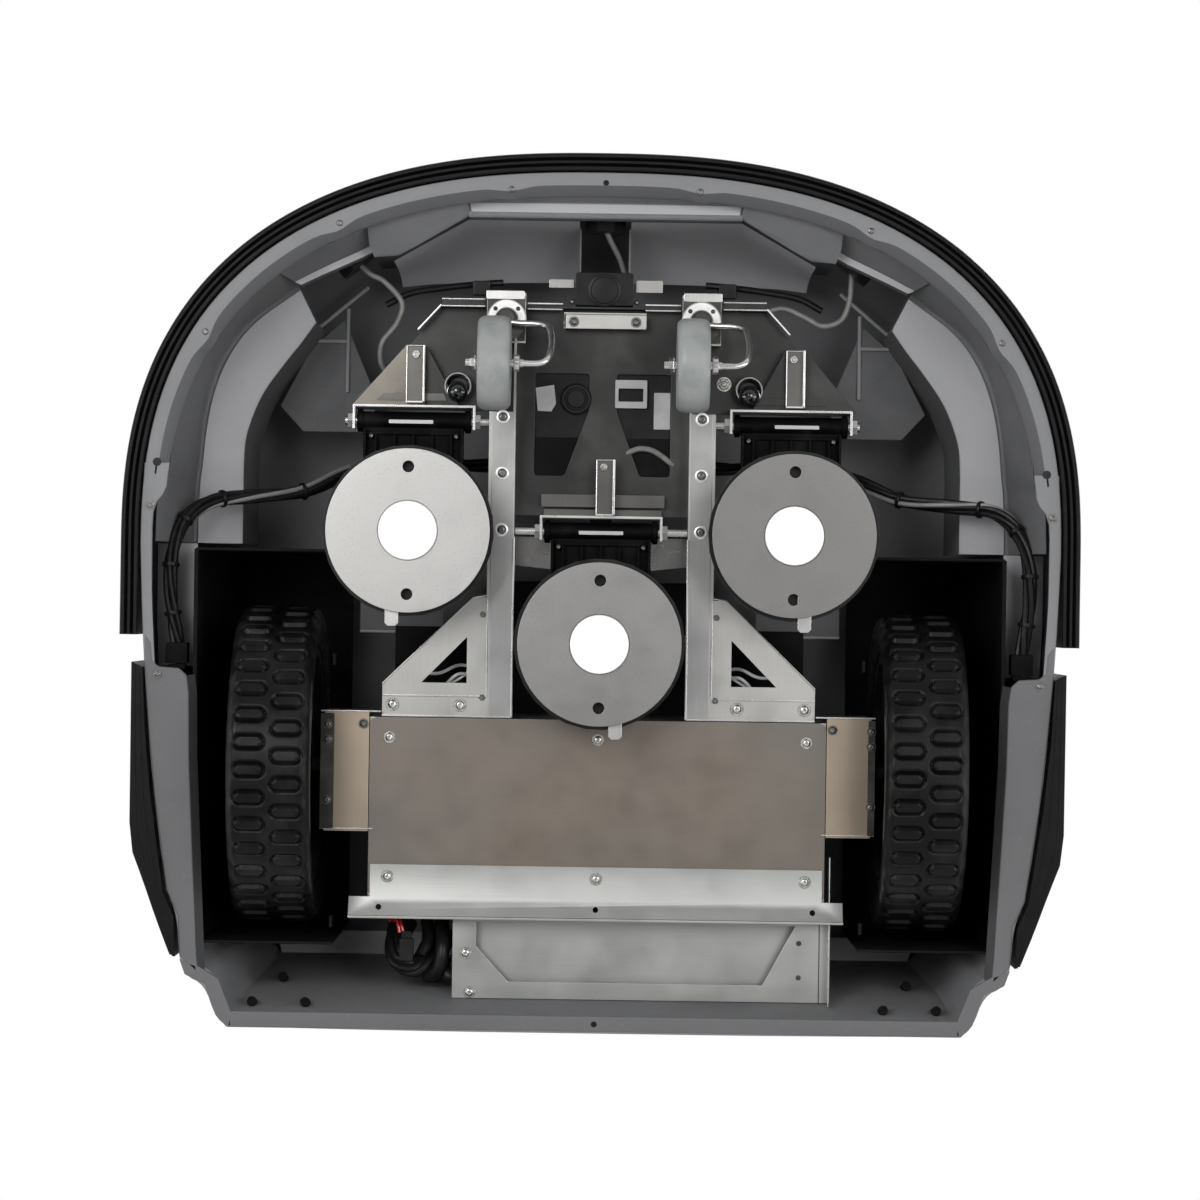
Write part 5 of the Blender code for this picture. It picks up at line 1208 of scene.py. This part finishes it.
def build_details():
    """The loop sensor's strip, and what shows through the deck's windows."""
    refined("loop_sensor", "black", 0.0012)
    strip = Shape()
    strip.sheet(-0.0425, -0.2945, 0.045, -0.279, 0.1475, 0.149, 0.0015, 0.0003)
    strip.boxes(1, (-42.5, -295.8, 144, 45, -294.2, 149, 0.3), (-42.5, -295, 147.5, -40.5, -279, 166, 0.3))
    strip.piece("sensor_strip", "gusset")
    tabs = Shape()
    tabs.sheet(-0.059, -0.332, -0.0325, -0.323, 0.16, 0.1615, 0.001, 0.0003)
    tabs.sheet(0.0335, -0.332, 0.062, -0.319, 0.16, 0.1615, 0.001, 0.0003)
    tabs.piece("sensor_tabs", "steel")
    dome = Shape()
    ring = mm((0, 0), (17.2, 0), (17.6, 1), (16, 1.6), (14.6, 1.6), (13.8, 0.8), (10, 1.2), (0, 1.6))
    dome.turned(ring, towards((0.0, -0.32, 0.1481), DOWN), 48)
    dome.piece("sensor_dome", "black")
    screws = Shape()
    for x in (-0.032, 0.034):
        screws.screw((x, -0.2862, 0.1475), radius=0.004, washer=0.0056)
    for x in (-0.0345, 0.0345):
        screws.screw((x, -0.308, 0.156), radius=0.003)
    screws.piece("sensor_screws", "grime")

    knob = Shape()
    at = towards((-0.0285, -0.205, 0.1692), DOWN)
    knob.turned(mm((0, 0), (16.5, 0), (16.8, 3), (15, 4.6), (12.5, 4.6), (11.5, 3), (10, 3), (9, 5), (0, 5.4)), at, 40)
    knob.piece("service_plug", "black")
    labels = Shape()
    slant = mm((-72, -216.5), (-52.5, -220), (-50, -200), (-55, -191.5), (-69.5, -192))
    labels.plate(slant, 0.1684, 0.169, bevel=0.0001)
    labels.sheet(0.0545, -0.213, 0.072, -0.174, 0.1684, 0.169, 0.001, 0.0001)
    labels.piece("blank_labels", "label")
    plug = Shape()
    hole = rectangle(0.0165, -0.217, 0.043, -0.203, 0.001)
    plug.plate(rectangle(0.013, -0.226, 0.047, -0.196, 0.0015), 0.164, 0.169, [hole])
    plug.piece("grey_connector", "label")
    Shape().tube(mm((26, -148, 168.5), (40, -153, 166), (56, -150, 165.5), (76, -136, 168)), 0.003, 10,
        5).piece("window_cable", "lead")
    cable = Shape()
    for side in SIDES.values():
        run = mirror(mm((235, -306, 212), (210, -319, 214), (175, -325.5, 216)), side)
        cable.tube([*run, (side * 0.14, -0.33, 0.218), (side * 0.11, -0.333, 0.224)], 0.0036, 10, 5)
        cable.box((side * 0.123, -0.333, 0.2), (side * 0.142, -0.317, 0.216), 0.0015)
    cable.piece("deck_cables", "cable")
    # Thin black sheets behind the deck's windows: painted shade in the openings.
    shade = Shape()
    for side in SIDES.values():
        shade.box((side * 0.0135, -0.164, 0.169), (side * 0.074, -0.1215, 0.1693), 0.0001)
    shade.piece("window_painted_shade", "well")


# ---------------------------------------------------------------- wiring and sensors
def strand(base, phase, turns, offset):
    """A line that winds loosely round a base line."""
    made = []
    for i, point in enumerate(base):
        ahead = (base[min(i + 1, len(base) - 1)] - base[max(i - 1, 0)]).normalized()
        side = ahead.cross(Vector((0, 0, 1))).normalized()
        up = side.cross(ahead)
        angle = phase + math.tau * turns * i / (len(base) - 1)
        made.append(point + (side * math.cos(angle) + up * math.sin(angle)) * offset)
    return made


def build_wiring():
    """The black bundles and their ties, the loom behind the box, and the loose wires."""
    half = mm((117, -135, 230), (150, -135, 232), (210, -138, 232), (270, -125, 215), (320, -103, 190),
        (375, -96, 170), (415, -90, 150), (440, -70, 135), (452, -35, 125), (453, 5, 120), (448, 40, 118),
        (444, 64, 118))
    for name, side in SIDES.items():
        base = smooth_line([(side * x, y, z) for x, y, z in half], 6)
        bundle = Shape()
        for k in range(4):
            bundle.tube(strand(base, math.tau * k / 4, 1.6, 0.0044), 0.0034, 9)
        plug = rectangle(side * 0.433, 0.06, side * 0.456, 0.082, 0.002)
        block = Shape()
        block.plate(plug, 0.108, 0.128, bevel=0.001)
        block.sheet(side * 0.435, 0.083, side * 0.454, 0.088, 0.111, 0.125, 0.002, 0.001)
        block.piece(f"harness_{name}_connector", "well")
        bundle.piece(f"harness_{name}_strands", "cable", replaces=[f"harness_{name}"])
        Shape().tube(strand(base, 0.4, 1.6, 0.0062)[18:54], 0.0026, 9).piece(f"harness_{name}_grey_lead", "lead")
        ties = Shape()
        for k in (24, 34, 42, 50, 58):
            at = base[k]
            ahead = (base[k + 1] - base[k - 1]).normalized()
            ties.turned(mm((8.2, -2), (9.2, -2), (9.6, 0), (9.2, 2), (8.2, 2)), towards(at, ahead), 20, closed=True)
            ties.box((-0.0025, 0.008, -0.0025), (0.0025, 0.013, 0.0025), 0.0006, towards(at, ahead))
        ties.piece(f"harness_{name}_ties", "black")

    route = smooth_line(mm((-205, 320, 215), (-206, 345, 208), (-215, 370, 185), (-212, 395, 165), (-193, 405, 162),
        (-176, 398, 170), (-160, 398, 174)), 8)
    loom = Shape()
    for k in range(5):
        loom.tube(strand(route, math.tau * k / 5, 1.2, 0.0058), 0.004, 10)
    loom.tube(smooth_line(mm((-165, 352, 190), (-162, 378, 160), (-166, 405, 158), (-178, 412, 170)), 6), 0.0078, 14)
    loom.tube(smooth_line(mm((-182, 350, 200), (-178, 374, 176), (-186, 392, 164)), 6), 0.007, 14)
    for x, y, lift in mm((-200, 360, 0), (-172, 370, 6), (-156, 372, -4)):
        coil = [(x, y, 0.205), (x - 0.01, y + 0.022, 0.176), (x + 0.004, y + 0.042, 0.166 + lift),
            (x + 0.02, y + 0.03, 0.178)]
        loom.tube(smooth_line(coil, 7), 0.0086, 14)
    loom.piece("rear_loom_strands", "cable", replaces=["rear_loom"])
    Shape().boxes(1, (-208, 372, 149, -193, 396, 160, 1.5),
        (-206, 364, 150.5, -195, 372.5, 158.5, 1)).piece("rear_loom_plug", "black")
    red = Shape()
    red.tube(mm((-220, 356, 178), (-216.5, 349, 166), (-211, 354, 156), (-208, 366, 154)), 0.0018, 9, 6)
    red.tube(mm((-216, 356, 182), (-212, 348, 168), (-207, 356, 157), (-204, 366, 155)), 0.0018, 9, 6)
    red.piece("rear_loom_red_wires", "red")

    wires = Shape()
    for side in SIDES.values():
        wires.tube(mirror(mm((128, 85, 190), (150, 81, 178), (172, 90, 176), (200, 88, 190)), side), 0.0018, 8, 6)
        wires.tube(mirror(mm((130, 98, 185), (146, 90, 172), (158, 96, 172), (170, 112, 190)), side), 0.0018, 8, 6)
        wires.tube(mirror(mm((128, 70, 195), (142, 90, 176), (165, 104, 180)), side), 0.0016, 8, 6)
    wires.piece("gusset_wires", "white")
    # Thin black sheets behind the gussets: painted shade seen through their openings.
    behind = Shape()
    for side in SIDES.values():
        behind.box((side * 0.123, 0.04, 0.206), (side * 0.22, 0.13, 0.2076), 0.0005)
    behind.piece("gusset_painted_shade", "well")


def build_sonars():
    """The ultrasonic sensors with their grey leads."""
    leads = {"left": mm((-266, -350, 205), (-252, -338, 204), (-237, -330, 203), (-218, -308, 200), (-223, -285, 197),
        (-239, -262, 195), (-235, -235, 200), (-200, -215, 215), (-155, -215, 225), (-115.5, -215, 225)),
        "right": mm((266, -350, 205), (264, -318, 203), (255, -296, 200), (235, -289, 200), (215, -299, 205),
        (190, -308, 212), (160, -295, 220), (135, -270, 225), (116, -255, 225)),
        "center": mm((0, -390, 205), (6, -378, 210), (18, -355, 220), (25, -325, 225), (20, -300, 225),
        (20, -286.5, 225))}
    for name, (face, look) in SONARS.items():
        shape = Shape()
        place = towards(face, look)
        barrel = mm((0, -30), (18.5, -30), (19, -29), (19, -0.8), (18.2, 0), (15, 0), (14, -2), (0, -2))
        shape.turned(barrel, place, 48)
        shape.turned(mm((0, -44), (22.5, -44), (23.5, -42.5), (23.5, -23.5), (22.5, -22), (0, -22)),
            place @ Matrix.Rotation(math.radians(22.5), 4, "Z"), 8)
        shape.piece(f"sonar_{name}_housing", "black", replaces=[f"sonar_{name}"])
        Shape().turned(mm((0, -3), (13.8, -3), (13.8, -1.6), (10, -0.4), (0, 0)), place,
            48).piece(f"sonar_{name}_face", "mesh")
        Shape().tube(leads[name], 0.003, 12, smooth=6).piece(f"sonar_{name}_lead", "lead")


# ---------------------------------------------------------------- top
def build_top():
    """What stands on the hood: hatch, console and stop button."""
    refined("lift_actuator", "metal", 0.001)
    refined("lift_yoke", "bright", 0.0005)
    collar = Shape()
    collar.plate(rectangle(-0.135, -0.015, 0.135, 0.23, 0.02, 8), 0.425, 0.435,
        [rectangle(-0.118, 0.0, 0.118, 0.215, 0.004)], bevel=0.0015, segments=3)
    collar.turned(mm((17.8, 410), (50, 410), (50, 412), (44, 430), (42, 432), (17.8, 432)),
        Matrix.Translation((*STOP_BUTTON, 0)), 64, closed=True)
    collar.piece("hatch_collar", "hood")
    seal = Shape()
    seal.plate(rectangle(-0.129, -0.009, 0.129, 0.224, 0.016, 6), 0.4345, 0.4362,
        [rectangle(-0.1215, -0.003, 0.1215, 0.218, 0.01, 6)], bevel=0.0005)
    seal.piece("hatch_seal", "rubber")
    Shape().plate(rectangle(-0.134, -0.014, 0.134, 0.229, 0.022, 8), 0.4364, 0.4478, bevel=0.004,
        segments=4).piece("hatch_lid_moulding", "hood", "hatch_lid", ["hatch_lid"])
    under = Shape()
    opening = rectangle(-0.106, 0.012, 0.106, 0.203, 0.01, 6)
    under.plate(rectangle(-0.112, 0.006, 0.112, 0.209, 0.014, 6), 0.434, 0.4366, [opening], bevel=0.0006)
    for x in (-0.053, 0.0, 0.053):
        under.box((x - 0.0012, 0.011, 0.4344), (x + 0.0012, 0.204, 0.4368), 0.0004)
    for y in (0.075, 0.14):
        under.box((-0.107, y - 0.0012, 0.4344), (0.107, y + 0.0012, 0.4368), 0.0004)
    under.piece("hatch_ribs", "hood", "hatch_lid")
    grip = Shape()
    grip.sheet(-0.042, 0.2005, 0.042, 0.2145, 0.4474, 0.4496, 0.006, 0.0008, 6)
    for i in range(7):
        x = -0.03 + 0.01 * i
        grip.box((x - 0.0012, 0.203, 0.449), (x + 0.0012, 0.212, 0.4503), 0.0004)
    grip.piece("hatch_grip", "black", "hatch_lid")
    Shape().sheet(-0.09, 0.03, 0.09, 0.15, 0.4474, 0.4484, 0.018, 0.0006, 8).piece("hatch_panel", "rubber", "hatch_lid")
    hinges = Shape()
    for x in (-0.09, 0.09):
        hinges.turned(mm((0, -20), (3, -20), (3.4, -19.4), (3.4, 19.4), (3, 20), (0, 20)),
            towards((x, -0.015, 0.4395), (1, 0, 0)), 24)
    hinges.piece("hatch_hinges", "metal")

    refined("console_panel", "black", 0.001)
    Shape().sheet(-0.055, 0.03, 0.055, 0.1, 0.4236, 0.4252, 0.004, 0.0004, 5).piece("console_screen", "glass")
    keys = Shape()
    for i in range(4):
        for j in range(3):
            x, y = -0.045 + 0.03 * i, 0.125 + 0.022 * j
            keys.sheet(x - 0.01, y - 0.007, x + 0.01, y + 0.007, 0.4236, 0.4262, 0.003, 0.0008)
    keys.piece("console_keys", "mesh")
    Shape().sheet(0.078, 0.125, 0.102, 0.17, 0.4236, 0.4268, 0.003, 0.001).piece("console_switch", "red")

    knob = Shape()
    profile = mm((0, -38), (14.8, -38), (15, 0), (28.5, 1.8), (30.4, 4.5), (31, 7.2))
    profile += mm((30, 10), (27, 12.6), (20, 15.6), (11, 17.2), (0, 17.8))
    knob.turned(profile, Matrix.Translation((*STOP_BUTTON, 0.437)), 64)
    knob.piece("stop_button_mushroom", "red", "stop_button", ["stop_button"], 50)
    ring = Shape()
    ring.turned(mm((18, 0), (40, 0), (40.2, 1.2), (38, 2), (33.5, 1.9), (31.8, 0.6), (18, 0.5)),
        Matrix.Translation((*STOP_BUTTON, 0.4316)), 64, closed=True)
    ring.piece("stop_button_ring", "yellow")


# ---------------------------------------------------------------- studio
def build_studio():
    """A white surround that is darker below, area lamps, a floor seen only from above, and the camera."""
    scene = bpy.context.scene
    scene.world = bpy.data.worlds.new("studio")
    scene.world.use_nodes = True
    tree = scene.world.node_tree
    background = tree.nodes["Background"]
    background.inputs["Strength"].default_value = 1.0
    coord, split, level, ramp = (tree.nodes.new("ShaderNode" + kind) for kind in ("TexCoord", "SeparateXYZ",
        "MapRange", "ValToRGB"))
    level.inputs["From Min"].default_value, level.inputs["From Max"].default_value = -1.0, 1.0
    tree.links.new(coord.outputs["Generated"], split.inputs["Vector"])
    tree.links.new(split.outputs["Z"], level.inputs["Value"])
    tree.links.new(level.outputs["Result"], ramp.inputs["Fac"])
    tree.links.new(ramp.outputs["Color"], background.inputs["Color"])
    below, above = 0.3, 1.0
    first, last = ramp.color_ramp.elements
    first.position, first.color = 0.0, (below, below, below, 1)
    last.position, last.color = 1.0, (above, above, above, 1)
    for position, value in ((0.12, 0.34), (0.34, 0.62), (0.47, 0.85), (0.5, 1.0)):
        ramp.color_ramp.elements.new(position).color = (value, value, value, 1)

    for name, at, aim_z, size, power in (("softbox_left", (-1.5, -0.95, -3.2), 0.1, (1.7, 1.7), 62),
        ("softbox_right", (1.7, -0.55, -3.2), 0.1, (1.7, 1.7), 44),
        ("softbox_rear", (0.2, 2.2, -2.9), 0.1, (2.2, 1.2), 6), ("edge_left", (-2.8, 0.2, -0.9), 0.1, (0.8, 2.0), 16),
        ("edge_right", (2.8, 0.2, -0.9), 0.1, (0.8, 2.0), 16), ("key_above", (1.6, -2.0, 2.6), 0.3, (1.8, 1.8), 45)):
        data = bpy.data.lights.new(name, "AREA")
        data.shape, data.size, data.size_y, data.energy = "RECTANGLE", *size, power
        obj = bpy.data.objects.new(name, data)
        scene.collection.objects.link(obj)
        turn = (Vector((0, 0, aim_z)) - Vector(at)).to_track_quat("-Z", "Y")
        obj.matrix_world = Matrix.Translation(at) @ turn.to_matrix().to_4x4()

    # The floor is clear from below, so that the photograph's view of the belly stays open.
    floor = as_object(Shape().plate(arc(6.0, 355, 71), -0.012, -0.003, bevel=0).bm, "studio_floor")
    look = Finish("floor", (0.86, 0.86, 0.86), 0.9)
    face = look.node("NewGeometry")
    upward = look.node("Math", {1: 0.5}, Value=look.node("SeparateXYZ",
        Vector=face.outputs["True Normal"]).outputs["Z"])
    upward.operation = "GREATER_THAN"
    front = look.node("Math", Value=upward.outputs[0])
    front.operation, front.use_clamp = "SUBTRACT", True
    mix = look.node("MixShader", Fac=front.outputs[0])
    for output, socket in ((face.outputs["Backfacing"], front.inputs[1]),
        (look.node("BsdfTransparent").outputs[0], mix.inputs[1]), (look.shader.outputs[0], mix.inputs[2]),
        (mix.outputs[0], look.tree.nodes["Material Output"].inputs["Surface"])):
        look.tree.links.new(output, socket)
    floor.data.materials.append(look.material)
    floor.visible_shadow = floor.visible_diffuse = floor.visible_glossy = floor.visible_transmission = False

    camera = bpy.data.cameras.new("camera")
    camera.lens, camera.sensor_width = 111.5, 36
    scene.camera = bpy.data.objects.new("camera", camera)
    scene.collection.objects.link(scene.camera)
    from_below = Matrix(((1, 0, 0), (0, -1, 0), (0, 0, -1))).to_4x4()
    roll = Matrix.Rotation(math.radians(0.85), 4, "Z")
    scene.camera.matrix_world = Matrix.Translation((0, 0.009, -3.8)) @ from_below @ roll
    scene.view_settings.view_transform = "Standard"


def main():
    """Builds everything."""
    build_outside(build_hood())
    build_rim()
    build_lining()
    build_bumpers()
    build_wells()
    build_tyres()
    build_casters()
    build_chassis()
    build_heads()
    build_details()
    build_wiring()
    build_sonars()
    build_top()
    build_studio()


main()
